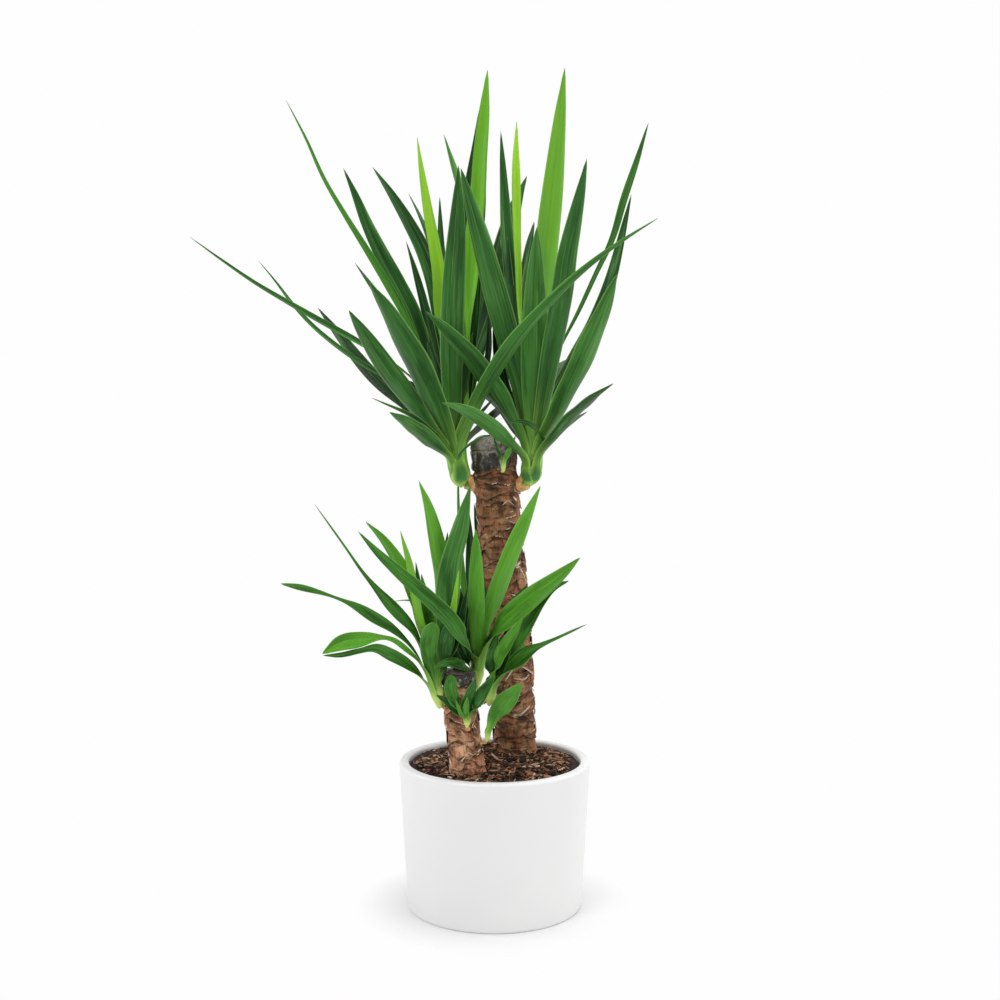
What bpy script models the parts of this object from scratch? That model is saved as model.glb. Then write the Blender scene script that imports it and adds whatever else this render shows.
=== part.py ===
"""A potted yucca: two rooted cane cuttings with leafy shoots, in a white glazed cylinder pot.

Metres, +Z up. The origin is the middle of the pot's flat underside, and the plant's fuller side faces -Y.
"""
import math

import bmesh
import bpy
from mathutils import Matrix, Vector, noise
from mathutils.bvhtree import BVHTree

CM = 0.01
FIT_GAP = 0.0003            # between neighbouring pieces

# Pot: a slightly tapered cylinder with a rounded lip.
POT_HEIGHT = 0.1695
POT_RIM_RADIUS = 0.110
POT_BASE_RADIUS = 0.1008
POT_MOUTH_RADIUS = 0.0988
POT_WELL_RADIUS = 0.0900
POT_FLOOR = 0.012
POT_WELL_FILLET = 0.008
POT_LIP_ROUND = 0.0035
POT_FOOT_ROUND = 0.0030
POT_STEPS = 48

# Soil: a low mound of bark mulch.
SOIL_EDGE_BELOW_RIM = 0.009
SOIL_MOUND = 0.011
SOIL_CLODS = 0.0022
SOIL_SIDE_GAP = 0.0007      # to the well, which is faceted
SOIL_RINGS = 8
SOIL_STEPS = 40

# Canes: from the buried foot to the sawn head, with the middle bowed towards +X.
TALL_CANE = dict(foot=(0.0265, 0.058, 0.100), head=(0.0005, 0.050, 0.5380), foot_radius=0.0238,
                 head_radius=0.0262, bow=0.0035, steps=24, rings=44, seal_sleeve=0.024)
SHORT_CANE = dict(foot=(-0.0215, -0.046, 0.090), head=(-0.0420, -0.044, 0.2740), foot_radius=0.0195,
                  head_radius=0.0180, bow=0.0, steps=20, rings=20, seal_sleeve=0.009)
SCAR_BOTTOM = 0.178         # the bark is smooth where it is buried
SCAR_PITCH = 0.0135         # spacing of the leaf scars along a cane
SCAR_DEPTH = 0.0009
SOCKET_GAP = 0.0006         # between a cane and the mulch round it
SEAL_WALL = 0.0011          # the wax that the sawn cane tops are dipped in
SEAL_DOME = 0.0050

# Shoots: points and radii along each stem, from inside the cane that carries it to the crown's heart.
SHOOTS = {
    "shoot_upper_left": ("tall_cane", [((-0.012, 0.046, 0.4880), 0.0075), ((-0.032, 0.040, 0.4900), 0.0085),
                                       ((-0.043, 0.037, 0.5060), 0.0105), ((-0.0450, 0.036, 0.5300), 0.0098),
                                       ((-0.0450, 0.035, 0.5600), 0.0080), ((-0.0440, 0.035, 0.5950), 0.0045)]),
    "shoot_upper_right": ("tall_cane", [((0.012, 0.046, 0.4850), 0.0075), ((0.033, 0.041, 0.4880), 0.0085),
                                        ((0.0430, 0.038, 0.5040), 0.0105), ((0.0440, 0.037, 0.5280), 0.0098),
                                        ((0.0430, 0.038, 0.5580), 0.0080), ((0.0420, 0.038, 0.5930), 0.0045)]),
    "bud_upper_front": ("tall_cane", [((0.0080, 0.030, 0.4930), 0.0030), ((0.0095, 0.0190, 0.5000), 0.0045),
                                      ((0.0100, 0.0160, 0.5120), 0.0035), ((0.0105, 0.0150, 0.5230), 0.0020)]),
    "shoot_lower_left": ("short_cane", [((-0.038, -0.046, 0.2420), 0.0055), ((-0.0560, -0.051, 0.2430), 0.0060),
                                        ((-0.0625, -0.054, 0.2560), 0.0072), ((-0.0665, -0.0575, 0.2720), 0.0068),
                                        ((-0.0665, -0.0575, 0.3060), 0.0050)]),
    "shoot_lower_back": ("short_cane", [((-0.034, -0.038, 0.2560), 0.0055), ((-0.0235, -0.0250, 0.2580), 0.0060),
                                        ((-0.0205, -0.0200, 0.2700), 0.0070), ((-0.0200, -0.0190, 0.2850), 0.0062),
                                        ((-0.0200, -0.0190, 0.3060), 0.0035)]),
    "shoot_lower_right": ("short_cane", [((-0.026, -0.046, 0.2330), 0.0045), ((-0.0120, -0.049, 0.2360), 0.0055),
                                         ((-0.0060, -0.050, 0.2480), 0.0065), ((-0.0050, -0.050, 0.2600), 0.0055),
                                         ((-0.0050, -0.050, 0.2760), 0.0030)]),
    "sprout_lower_front": ("short_cane", [((-0.0300, -0.058, 0.2180), 0.0035), ((-0.0300, -0.0690, 0.2220), 0.0045),
                                          ((-0.0300, -0.0740, 0.2340), 0.0042), ((-0.0295, -0.0760, 0.2500), 0.0022)]),
    "sprout_lower_side": ("short_cane", [((-0.0230, -0.050, 0.2000), 0.0035), ((-0.0105, -0.0560, 0.2020), 0.0042),
                                         ((-0.0085, -0.0590, 0.2110), 0.0042), ((-0.0075, -0.0610, 0.2200), 0.0025)]),
}
SHOOT_SIDES_RESOLUTION = 4

# Leaves of each shoot: (tip x, tip y, tip z, width, droop, sway) in centimetres and the blade's roll in degrees.
# Droop lifts the middle of the blade above its chord, sway moves it to the left seen from the plant.
LEAVES = {
    "shoot_upper_left": [
        (-1.0, 2.0, 96.0, 1.9, 0.5, 0.0, -45),
        (4.0, 25.0, 87.5, 2.0, 1.0, 2.0, 0),
        (-3.5, -9.0, 83.0, 2.7, 1.0, 0.0, 0),
        (-15.0, 13.0, 86.5, 2.6, 1.5, -1.0, 0),
        (-9.0, 0.0, 88.5, 1.9, 0.5, 0.0, -35),
        (-18.0, 8.0, 86.0, 2.5, 0.5, 0.0, -15),
        (-23.5, 0.0, 92.0, 2.2, 0.5, 0.0, -35),
        (-17.0, 12.0, 75.0, 2.0, 0.5, 0.0, 0),
        (-12.5, -18.0, 70.0, 3.0, 1.0, 0.0, 0),
        (-15.0, -14.0, 67.5, 2.4, 0.5, -1.0, 20),
        (-33.5, -5.0, 76.0, 2.0, 0.5, 0.0, 10),
        (-28.5, 10.0, 75.0, 1.8, 0.0, 0.0, 0),
        (-11.0, -12.0, 57.0, 1.8, 0.5, 0.0, 30),
        (16.5, -17.0, 76.5, 2.4, 2.0, -2.0, -20),
        (-14.0, 29.0, 67.0, 2.6, 2.0, 0.0, 0),
        (-5.0, 33.0, 75.0, 2.6, 2.0, 0.0, 0),
    ],
    "shoot_upper_right": [
        (0.5, 16.0, 91.5, 1.9, 0.0, 0.0, 0),
        (2.5, 2.0, 90.0, 1.4, 0.3, 0.0, 0),
        (-6.5, 20.0, 92.0, 1.9, 0.0, 0.0, 0),
        (-3.5, -11.0, 82.5, 2.9, 1.0, -0.5, 15),
        (-7.5, -5.0, 68.0, 2.3, 1.2, 0.0, 40),
        (-5.5, -12.0, 58.0, 1.8, 1.3, 0.0, 35),
        (7.5, -8.0, 93.5, 2.5, 1.5, 0.5, 0),
        (9.5, -14.0, 83.0, 2.5, 1.5, 0.0, 0),
        (17.5, 3.0, 90.0, 2.2, 0.3, 0.0, 25),
        (17.0, 18.0, 84.0, 2.0, -1.0, 0.0, 0),
        (12.5, -16.0, 71.0, 2.7, 0.6, 1.0, 0),
        (12.5, -12.0, 60.0, 2.0, 0.8, 0.0, 0),
        (4.5, -10.0, 76.5, 2.8, 0.8, 0.0, 0),
        (5.0, 22.0, 81.5, 1.4, 0.5, 0.5, 0),
        (18.0, 27.0, 67.0, 2.6, 2.0, 0.0, 0),
    ],
    "shoot_lower_left": [
        (-19.5, -8.0, 47.0, 1.6, 0.7, 0.0, -45),
        (-23.0, -10.0, 38.5, 1.6, 2.5, 0.0, -50),
        (-13.5, -13.0, 45.5, 1.7, 1.0, 0.0, 20),
        (-11.0, 4.0, 43.0, 1.4, 0.3, 0.0, 0),
        (-17.5, -17.0, 32.0, 2.0, 2.3, -0.5, -60),
        (-8.0, -11.0, 49.5, 1.7, 0.4, 0.5, 0),
        (-2.5, -12.0, 49.0, 2.2, 0.8, 0.5, -15),
        (-14.0, 6.0, 37.0, 1.8, 1.0, 0.0, 0),
    ],
    "shoot_lower_back": [
        (-14.5, -9.0, 44.0, 2.0, 1.1, 0.0, 50),
        (-2.0, -10.0, 44.5, 1.9, 0.5, 0.0, 0),
        (5.0, -8.0, 49.0, 2.2, 0.4, 0.0, -30),
        (9.0, -10.0, 41.0, 2.0, 1.2, 0.0, -45),
    ],
    "shoot_lower_right": [
        (8.0, -12.0, 40.0, 2.1, 0.8, 0.0, -30),
        (9.5, -12.0, 34.5, 1.7, 0.9, 0.0, -45),
    ],
    "sprout_lower_side": [
        (3.0, -9.0, 27.5, 1.8, 0.3, 0.0, -45),
    ],
}
LEAF_THICKNESS = 0.0014
LEAF_STATIONS = 9
LEAF_FOLD = 0.16            # depth of the gutter along the midrib, as a share of the width
# Width along a blade, as a share of its greatest width: a clasping neck, a long belly and a sharp tip.
LEAF_PROFILE = [(0.0, 0.32), (0.10, 0.38), (0.40, 1.0), (0.55, 0.97), (0.80, 0.58), (0.93, 0.27), (1.0, 0.10)]
CROWN_START = 0.34          # the lowest and the highest leaf's places, as shares of their stem
CROWN_END = 0.96
NECK_APPROACH = 0.004       # a neck starts this far out, and is brought in to the fitting gap
SEATING_STEPS = 4


def clear_scene():
    for old in list(bpy.data.objects):
        bpy.data.objects.remove(old, do_unlink=True)


def material(name, colour, roughness):
    """A plain dielectric surface."""
    made = bpy.data.materials.new(name)
    made.use_nodes = True
    shader = made.node_tree.nodes["Principled BSDF"]
    shader.inputs["Base Color"].default_value = (*colour, 1.0)
    shader.inputs["Roughness"].default_value = roughness
    shader.inputs["Metallic"].default_value = 0.0
    made.diffuse_color = (*colour, 1.0)
    return made


def new_object(name, mesh, collection, finish):
    made = bpy.data.objects.new(name, mesh)
    collection.objects.link(made)
    if finish:
        made.data.materials.append(finish)
    return made


def mesh_from(name, points, faces):
    mesh = bpy.data.meshes.new(name)
    mesh.from_pydata([tuple(p) for p in points], [], faces)
    mesh.update()
    return mesh


def subtract(target, cutter):
    cut = target.modifiers.new("cut_" + cutter.name, "BOOLEAN")
    cut.operation = "DIFFERENCE"
    cut.solver = "EXACT"
    cut.object = cutter
    cutter.hide_render = True
    cutter.display_type = "WIRE"


def interpolate(table, place):
    """Straight-line reading of (place, value) pairs."""
    for (x0, y0), (x1, y1) in zip(table, table[1:]):
        if place <= x1:
            return y0 + (y1 - y0) * (place - x0) / (x1 - x0)
    return table[-1][1]


# ---------------------------------------------------------------- pot

def arc(centre, radius, start, end, steps):
    """Points (r, z) on an arc, angles in degrees."""
    angles = [math.radians(start + (end - start) * i / steps) for i in range(steps + 1)]
    return [(centre[0] + radius * math.cos(a), centre[1] + radius * math.sin(a)) for a in angles]


def build_pot(collection):
    """One turned profile, from the well's middle over the lip and down the outside."""
    lip = POT_LIP_ROUND
    foot = POT_FOOT_ROUND
    fillet = POT_WELL_FILLET
    profile = [(0.0, POT_FLOOR), (POT_WELL_RADIUS - fillet, POT_FLOOR), (POT_WELL_RADIUS, POT_FLOOR + fillet)]
    profile += arc((POT_MOUTH_RADIUS + lip, POT_HEIGHT - lip), lip, 180, 90, 4)
    profile += arc((POT_RIM_RADIUS - lip, POT_HEIGHT - lip), lip, 90, 0, 4)
    profile += arc((POT_BASE_RADIUS - foot, foot), foot, 0, -90, 3)
    profile += [(0.0, 0.0)]
    edges = [(i, i + 1) for i in range(len(profile) - 1)]
    mesh = bpy.data.meshes.new("pot")
    mesh.from_pydata([(r, 0.0, z) for r, z in profile], edges, [])
    pot = new_object("pot", mesh, collection, material("pot_glaze", (0.83, 0.83, 0.82), 0.32))
    screw = pot.modifiers.new("turn", "SCREW")
    screw.steps = POT_STEPS
    screw.render_steps = POT_STEPS
    screw.use_merge_vertices = True
    screw.merge_threshold = 0.00001
    screw.use_normal_calculate = False
    return pot


def well_radius_at(z):
    """Inner radius of the pot at a height."""
    low = POT_FLOOR + POT_WELL_FILLET
    high = POT_HEIGHT - POT_LIP_ROUND
    if z < low:
        return POT_WELL_RADIUS - POT_WELL_FILLET + (z - POT_FLOOR)
    return POT_WELL_RADIUS + (POT_MOUTH_RADIUS - POT_WELL_RADIUS) * (z - low) / (high - low)


# ---------------------------------------------------------------- soil

def soil_height(x, y):
    """Top of the mulch: a low mound with clods, level with the rim towards the back."""
    share = math.hypot(x, y) / POT_MOUTH_RADIUS
    mound = SOIL_MOUND * (1.0 - share ** 2)
    clods = SOIL_CLODS * noise.noise(Vector((x * 70.0, y * 70.0, 3.0)))
    return POT_HEIGHT - SOIL_EDGE_BELOW_RIM + mound + clods * (1.0 - share ** 6)


def build_soil(collection):
    edge_z = POT_HEIGHT - SOIL_EDGE_BELOW_RIM
    radius = well_radius_at(edge_z) - SOIL_SIDE_GAP
    points = [(0.0, 0.0, soil_height(0.0, 0.0))]
    for ring in range(1, SOIL_RINGS + 1):
        r = radius * ring / SOIL_RINGS
        for step in range(SOIL_STEPS):
            angle = 2.0 * math.pi * step / SOIL_STEPS
            x, y = r * math.cos(angle), r * math.sin(angle)
            points.append((x, y, soil_height(x, y)))
    for z in (POT_FLOOR + POT_WELL_FILLET + FIT_GAP, POT_FLOOR + FIT_GAP):
        r = well_radius_at(z) - SOIL_SIDE_GAP
        for step in range(SOIL_STEPS):
            angle = 2.0 * math.pi * step / SOIL_STEPS
            points.append((r * math.cos(angle), r * math.sin(angle), z))
    points.append((0.0, 0.0, POT_FLOOR + FIT_GAP))
    bottom = len(points) - 1
    faces = [(0, 1 + s, 1 + (s + 1) % SOIL_STEPS) for s in range(SOIL_STEPS)]
    for ring in range(SOIL_RINGS + 1):
        inner = 1 + ring * SOIL_STEPS
        outer = inner + SOIL_STEPS
        for s in range(SOIL_STEPS):
            after = (s + 1) % SOIL_STEPS
            faces.append((inner + s, outer + s, outer + after, inner + after))
    last = 1 + (SOIL_RINGS + 1) * SOIL_STEPS
    faces += [(bottom, last + (s + 1) % SOIL_STEPS, last + s) for s in range(SOIL_STEPS)]
    return new_object("soil", mesh_from("soil", points, faces), collection,
                      material("bark_mulch", (0.045, 0.026, 0.016), 0.9))


# ---------------------------------------------------------------- canes

def cane_centre(cane, share):
    """Axis of a cane, from its buried foot (0) to its sawn head (1), bowed towards +X."""
    foot, head = Vector(cane["foot"]), Vector(cane["head"])
    return foot.lerp(head, share) + Vector((cane["bow"] * math.sin(math.pi * share), 0.0, 0.0))


def cane_radius(cane, share):
    return cane["foot_radius"] + (cane["head_radius"] - cane["foot_radius"]) * share


def scar_relief(cane, angle, z):
    """Rhombic leaf scars in two crossing spirals, between the mulch and the wax."""
    if z < SCAR_BOTTOM or z > cane["head"][2] - cane["seal_sleeve"] - FIT_GAP:
        return 0.0
    turn = 2.0 * math.pi * z / SCAR_PITCH
    return SCAR_DEPTH * (math.cos(3.0 * angle + turn / 2.0) * math.cos(3.0 * angle - turn / 2.0) - 0.2)


def cane_mesh(name, cane, grow=0.0):
    """A lofted cane; grow widens it for a cutter."""
    steps, rings = cane["steps"], cane["rings"]
    points = []
    for ring in range(rings + 1):
        share = ring / rings
        centre = cane_centre(cane, share)
        for step in range(steps):
            angle = 2.0 * math.pi * step / steps
            radius = cane_radius(cane, share) + scar_relief(cane, angle, centre.z) + grow
            points.append(centre + Vector((radius * math.cos(angle), radius * math.sin(angle), 0.0)))
    points += [cane_centre(cane, 0.0), cane_centre(cane, 1.0)]
    foot, head = len(points) - 2, len(points) - 1
    faces = []
    for ring in range(rings):
        low = ring * steps
        for s in range(steps):
            after = (s + 1) % steps
            faces.append((low + s, low + after, low + steps + after, low + steps + s))
    faces += [(foot, (s + 1) % steps, s) for s in range(steps)]
    top = rings * steps
    faces += [(head, top + s, top + (s + 1) % steps) for s in range(steps)]
    return mesh_from(name, points, faces)


def build_cane(name, cane, soil, collection, cutters, bark):
    """A cane and the socket that it stands in. Returns the grown copy that shoots are cut with."""
    new_object(name, cane_mesh(name, cane), collection, bark)
    grown = new_object(name + "_clearance", cane_mesh(name + "_clearance", cane, FIT_GAP), cutters, None)
    grown.hide_render = True
    grown.display_type = "WIRE"
    socket = cane_mesh(name + "_socket", cane, SOCKET_GAP)
    socket.transform(Matrix.Translation((0.0, 0.0, -FIT_GAP)))
    subtract(soil, new_object(name + "_socket", socket, cutters, None))
    return grown


def build_seal(name, cane, collection, finish):
    """The wax cap on a sawn top: a thin sleeve round the bark that closes in a low dome."""
    steps = cane["steps"]
    height = cane["head"][2] - cane["foot"][2]
    sleeve_share = 1.0 - cane["seal_sleeve"] / height
    inner = FIT_GAP
    outer = FIT_GAP + SEAL_WALL
    lid = FIT_GAP
    crown = FIT_GAP + SEAL_DOME
    # Rings as (share of the cane's height, extra radius, scale of the radius, lift above the sawn face).
    rings = [(1.0, inner, 1.0, lid), (sleeve_share, inner, 1.0, 0.0), (sleeve_share, outer, 1.0, 0.0),
             (1.0, outer, 1.0, lid), (1.0, outer, 0.90, crown * 0.60), (1.0, outer, 0.55, crown * 0.93)]
    points = [cane_centre(cane, 1.0) + Vector((0.0, 0.0, lid))]
    for share, extra, scale, lift in rings:
        centre = cane_centre(cane, share) + Vector((0.0, 0.0, lift))
        radius = (cane_radius(cane, share) + extra) * scale
        for step in range(steps):
            angle = 2.0 * math.pi * step / steps
            points.append(centre + Vector((radius * math.cos(angle), radius * math.sin(angle), 0.0)))
    points.append(cane_centre(cane, 1.0) + Vector((0.0, 0.0, crown)))
    apex = len(points) - 1
    faces = [(0, 1 + (s + 1) % steps, 1 + s) for s in range(steps)]
    for ring in range(len(rings) - 1):
        low = 1 + ring * steps
        for s in range(steps):
            after = (s + 1) % steps
            faces.append((low + s, low + after, low + steps + after, low + steps + s))
    last = 1 + (len(rings) - 1) * steps
    faces += [(apex, last + s, last + (s + 1) % steps) for s in range(steps)]
    return new_object(name, mesh_from(name, points, faces), collection, finish)


# ---------------------------------------------------------------- shoots

def build_shoot(name, points, grown_cane, collection, finish):
    """A tapering stem cut to sit on its cane's bark."""
    curve = bpy.data.curves.new(name, "CURVE")
    curve.dimensions = "3D"
    curve.bevel_depth = 1.0
    curve.bevel_resolution = SHOOT_SIDES_RESOLUTION
    curve.use_fill_caps = True
    spline = curve.splines.new("POLY")
    smooth = smooth_stem(points)
    spline.points.add(len(smooth) - 1)
    for target, (place, radius) in zip(spline.points, smooth):
        target.co = (*place, 1.0)
        target.radius = radius
    rail = bpy.data.objects.new(name + "_rail", curve)
    collection.objects.link(rail)
    bpy.context.view_layer.update()
    evaluated = rail.evaluated_get(bpy.context.evaluated_depsgraph_get())
    mesh = bpy.data.meshes.new_from_object(evaluated)
    bpy.data.objects.remove(rail, do_unlink=True)
    weld_mesh(mesh)
    made = new_object(name, mesh, collection, finish)
    subtract(made, grown_cane)
    return made


def weld_mesh(mesh):
    work = bmesh.new()
    work.from_mesh(mesh)
    bmesh.ops.remove_doubles(work, verts=work.verts, dist=0.00002)
    bmesh.ops.recalc_face_normals(work, faces=work.faces)
    work.to_mesh(mesh)
    work.free()


def smooth_stem(points, between=2):
    """Catmull-Rom reading of a stem's points, with the radius as a fourth number."""
    keys = [Vector((*place, radius)) for place, radius in points]
    keys = [keys[0]] + keys + [keys[-1]]
    out = []
    for k in range(1, len(keys) - 2):
        for step in range(between):
            t = step / between
            p0, p1, p2, p3 = keys[k - 1:k + 3]
            at = 0.5 * ((2 * p1) + (p2 - p0) * t + (2 * p0 - 5 * p1 + 4 * p2 - p3) * t * t
                        + (3 * p1 - p0 - 3 * p2 + p3) * t ** 3)
            out.append(at)
    out.append(keys[-2])
    return [(at.xyz, at.w) for at in out]


def along_stem(points, share):
    """Place and radius at a share of a stem's length."""
    keys = smooth_stem(points, 6)
    lengths = [0.0]
    for (a, _), (b, _) in zip(keys, keys[1:]):
        lengths.append(lengths[-1] + (b - a).length)
    want = share * lengths[-1]
    for i in range(1, len(keys)):
        if want <= lengths[i]:
            t = (want - lengths[i - 1]) / (lengths[i] - lengths[i - 1])
            return keys[i - 1][0].lerp(keys[i][0], t), keys[i - 1][1] * (1 - t) + keys[i][1] * t
    return keys[-1]


# ---------------------------------------------------------------- leaves

def leaf_spine(base, tip, droop, sway, share):
    """Point on the blade's middle line: a parabola over the chord, lifted and swayed in the middle."""
    chord = tip - base
    level = Vector((chord.x, chord.y, 0.0)).normalized()
    side = Vector((-level.y, level.x, 0.0))
    lift = side.cross(chord.normalized()) * -1.0
    swell = 4.0 * share * (1.0 - share)
    return base.lerp(tip, share) + (lift * droop + side * sway) * swell


def leaf_mesh(name, base, tip, width, droop, sway, roll):
    """An open strip of three points across, folded along its midrib."""
    points, faces = [], []
    for station in range(LEAF_STATIONS):
        share = station / (LEAF_STATIONS - 1)
        here = leaf_spine(base, tip, droop, sway, share)
        ahead = leaf_spine(base, tip, droop, sway, share + 0.01)
        behind = leaf_spine(base, tip, droop, sway, share - 0.01)
        along = (ahead - behind).normalized()
        level = Vector((along.x, along.y, 0.0)).normalized()
        across = Vector((-level.y, level.x, 0.0))
        turn = Matrix.Rotation(math.radians(roll) * min(1.0, share * 2.5), 3, along)
        across = turn @ across
        face_up = along.cross(across)
        half = 0.5 * width * interpolate(LEAF_PROFILE, share)
        fold = face_up * (2.0 * half * LEAF_FOLD)
        points += [here + across * half + fold * 0.5, here - fold * 0.5, here - across * half + fold * 0.5]
    for station in range(LEAF_STATIONS - 1):
        first = station * 3
        faces += [(first, first + 1, first + 4, first + 3), (first + 1, first + 2, first + 5, first + 4)]
    return mesh_from(name, points, faces)


def neck_gap(mesh, stem_tree):
    """How far the blade's neck, with half its thickness, stands off the stem."""
    across = [mesh.vertices[i].co for i in range(3)]
    samples = across + [across[0].lerp(across[1], 0.5), across[1].lerp(across[2], 0.5)]
    return min(stem_tree.find_nearest(place)[3] for place in samples) - LEAF_THICKNESS / 2.0


def build_leaf(name, stem_points, stem_tree, place, row, collection, finish):
    """A blade whose neck is brought up to the fitting gap from its stem."""
    tip = Vector(row[:3]) * CM
    width, droop, sway = (value * CM for value in row[3:6])
    centre, stem_radius = along_stem(stem_points, place)
    outward = Vector((tip.x - centre.x, tip.y - centre.y, 0.0)).normalized()
    base = centre + outward * (stem_radius + NECK_APPROACH)
    for _ in range(SEATING_STEPS):
        mesh = leaf_mesh(name, base, tip, width, droop, sway, row[6])
        base -= outward * (neck_gap(mesh, stem_tree) - FIT_GAP)
        bpy.data.meshes.remove(mesh)
    made = new_object(name, leaf_mesh(name, base, tip, width, droop, sway, row[6]), collection, finish)
    solid = made.modifiers.new("blade", "SOLIDIFY")
    solid.thickness = LEAF_THICKNESS
    solid.offset = 0.0
    return made


def build_leaves(shoot, stem_tree, collection, finish):
    """Steeper leaves sit nearer the heart of the crown, so each row is ranked by its rise."""
    stem = SHOOTS[shoot][1]
    heart = Vector(stem[-1][0])
    rows = LEAVES[shoot]

    def rise(row):
        reach = Vector(row[:3]) * CM - heart
        return math.atan2(reach.z, math.hypot(reach.x, reach.y))

    order = sorted(range(len(rows)), key=lambda i: rise(rows[i]))
    for rank, index in enumerate(order):
        place = CROWN_END - (CROWN_END - CROWN_START) * (len(rows) - 1 - rank) / max(1, len(rows) - 1)
        build_leaf(f"{shoot}_leaf_{index + 1:02d}", stem, stem_tree, place, rows[index], collection, finish)


def main():
    clear_scene()
    parts = bpy.data.collections.new("potted_yucca")
    cutters = bpy.data.collections.new("cutters")
    for made in (parts, cutters):
        bpy.context.scene.collection.children.link(made)

    build_pot(parts)
    soil = build_soil(parts)
    bark = material("bark", (0.16, 0.09, 0.05), 0.85)
    wax = material("seal_wax", (0.10, 0.09, 0.09), 0.4)
    stem = material("shoot_green", (0.30, 0.42, 0.10), 0.5)
    leaf = material("leaf_green", (0.04, 0.16, 0.03), 0.45)
    grown = {}
    for name, cane in (("tall_cane", TALL_CANE), ("short_cane", SHORT_CANE)):
        grown[name] = build_cane(name, cane, soil, parts, cutters, bark)
        build_seal(name + "_seal", cane, parts, wax)
    stems = {name: build_shoot(name, points, grown[carrier], parts, stem)
             for name, (carrier, points) in SHOOTS.items()}
    bpy.context.view_layer.update()
    settled = bpy.context.evaluated_depsgraph_get()
    trees = {shoot: BVHTree.FromObject(stems[shoot], settled) for shoot in LEAVES}
    for shoot in LEAVES:
        build_leaves(shoot, trees[shoot], parts, leaf)


main()
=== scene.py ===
"""The looks of a potted yucca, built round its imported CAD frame.

Metres, +Z up. Places come from the frame's nodes; the plant's fuller side faces -Y, towards the camera.
"""

import functools
import math

import bmesh
import bpy
import numpy as np
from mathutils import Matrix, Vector, noise


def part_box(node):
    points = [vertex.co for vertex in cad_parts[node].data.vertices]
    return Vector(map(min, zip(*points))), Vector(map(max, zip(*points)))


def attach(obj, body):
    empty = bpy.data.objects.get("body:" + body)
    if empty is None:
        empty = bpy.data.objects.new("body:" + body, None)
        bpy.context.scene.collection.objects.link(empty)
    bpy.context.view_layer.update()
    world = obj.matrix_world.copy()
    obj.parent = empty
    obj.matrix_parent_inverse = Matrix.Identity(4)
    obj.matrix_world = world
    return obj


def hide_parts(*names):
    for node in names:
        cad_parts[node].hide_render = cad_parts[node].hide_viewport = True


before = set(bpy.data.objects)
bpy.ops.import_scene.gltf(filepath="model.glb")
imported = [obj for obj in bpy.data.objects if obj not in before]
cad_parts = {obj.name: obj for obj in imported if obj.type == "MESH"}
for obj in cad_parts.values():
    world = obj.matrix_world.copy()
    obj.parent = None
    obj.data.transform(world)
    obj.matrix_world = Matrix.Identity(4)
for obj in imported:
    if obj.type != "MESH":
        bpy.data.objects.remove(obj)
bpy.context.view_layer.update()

MM = 0.001
CM = 0.01
GOLDEN_ANGLE = math.radians(137.5)

# Camera: a 50 mm lens on a 36 mm sensor, looking slightly down at the plant.
CAMERA_PLACE = (0.0061, -1.584, 0.575)
CAMERA_PITCH_DOWN = 3.81
CAMERA_LENS = 50.0

# Stage: the floor is seen all but white from FLOOR_CLEAR outward. Nearer the pot it is a darker diffuse
# floor, a painted shadow round the pot, that also takes the pot's real shadow.
FLOOR_REACH = 4.0
FLOOR_SHADED = 0.085
FLOOR_CLEAR = 0.16
FLOOR_TONE = 0.80             # the floor that lights the plant from below
# Painted shadow: the diffuse floor round the pot is darker than the far floor even where no shadow falls.
SHADOW_TONE = 0.765           # the floor that the camera sees under the pot
BACKDROP = 0.99               # the backdrop and the far floor, as the camera sees them
WORLD_LIGHT = 0.44
AIM = (0.0, 0.0, 0.55)
# Each lamp's name, place, diameter and power.
LAMPS = [
    ("key", (-1.5, -1.9, 2.1), 1.3, 31.0),
    ("fill", (1.9, -1.5, 1.3), 1.6, 16.0),
    ("left", (-2.3, 0.3, 1.1), 1.2, 13.0),
    ("right", (2.3, 0.3, 1.1), 1.2, 13.0),
    ("top", (0.2, 0.2, 2.6), 1.5, 36.0),
]

# Pot
POT_STEPS = 192
LIP_ROUND = 3.5 * MM
FOOT_ROUND = 3.0 * MM
WELL_FILLET = 8.0 * MM
WELL_POINTS = 20              # the pot's profile starts with these, up the inside of its wall

# Mulch
SOIL_BELOW_RIM = 5.0 * MM     # the bed's edge under the pot's rim
SOIL_MOUND = 1.5 * MM
SOIL_SIDE_GAP = 0.8 * MM
CHIP_COUNT = 1300
FIBRE_COUNT = 90

# Bark: overlapping leaf scars, each with a V-shaped lower edge.
SCAR_STEP = 5.0 * MM          # rise from one scar to the next
SCAR_REACH = math.radians(84)  # how far round the cane a scar goes each way
SCAR_DROP = 12.0 * MM         # how much lower a scar's middle is than its ends
SCAR_FADE = 14.0 * MM         # a scar's lip fades into the bark above it
SCAR_DEPTH = 2.4 * MM         # how far the deepest scars stand proud
CANE_FLARE = 3.0 * MM         # how much wider a cane is where it leaves the mulch
TOP_LEAN = 3.0 * MM           # how far the tall cane's bark stands to the left of its axis at the top
LEAN_FROM = 0.28              # heights between which that lean sets in
LEAN_TO = 0.44
GRAIN_RADIUS = 25.0 * MM      # turns an angle round a cane into a length for the bark's grain
CANE_SLICES = 40              # a cane is measured at this many heights
CANE_END = 0.5 * MM           # the first and last of them lie this far inside its ends
BURIED_ROWS = 8               # rows of points that a cane has under the mulch

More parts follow.
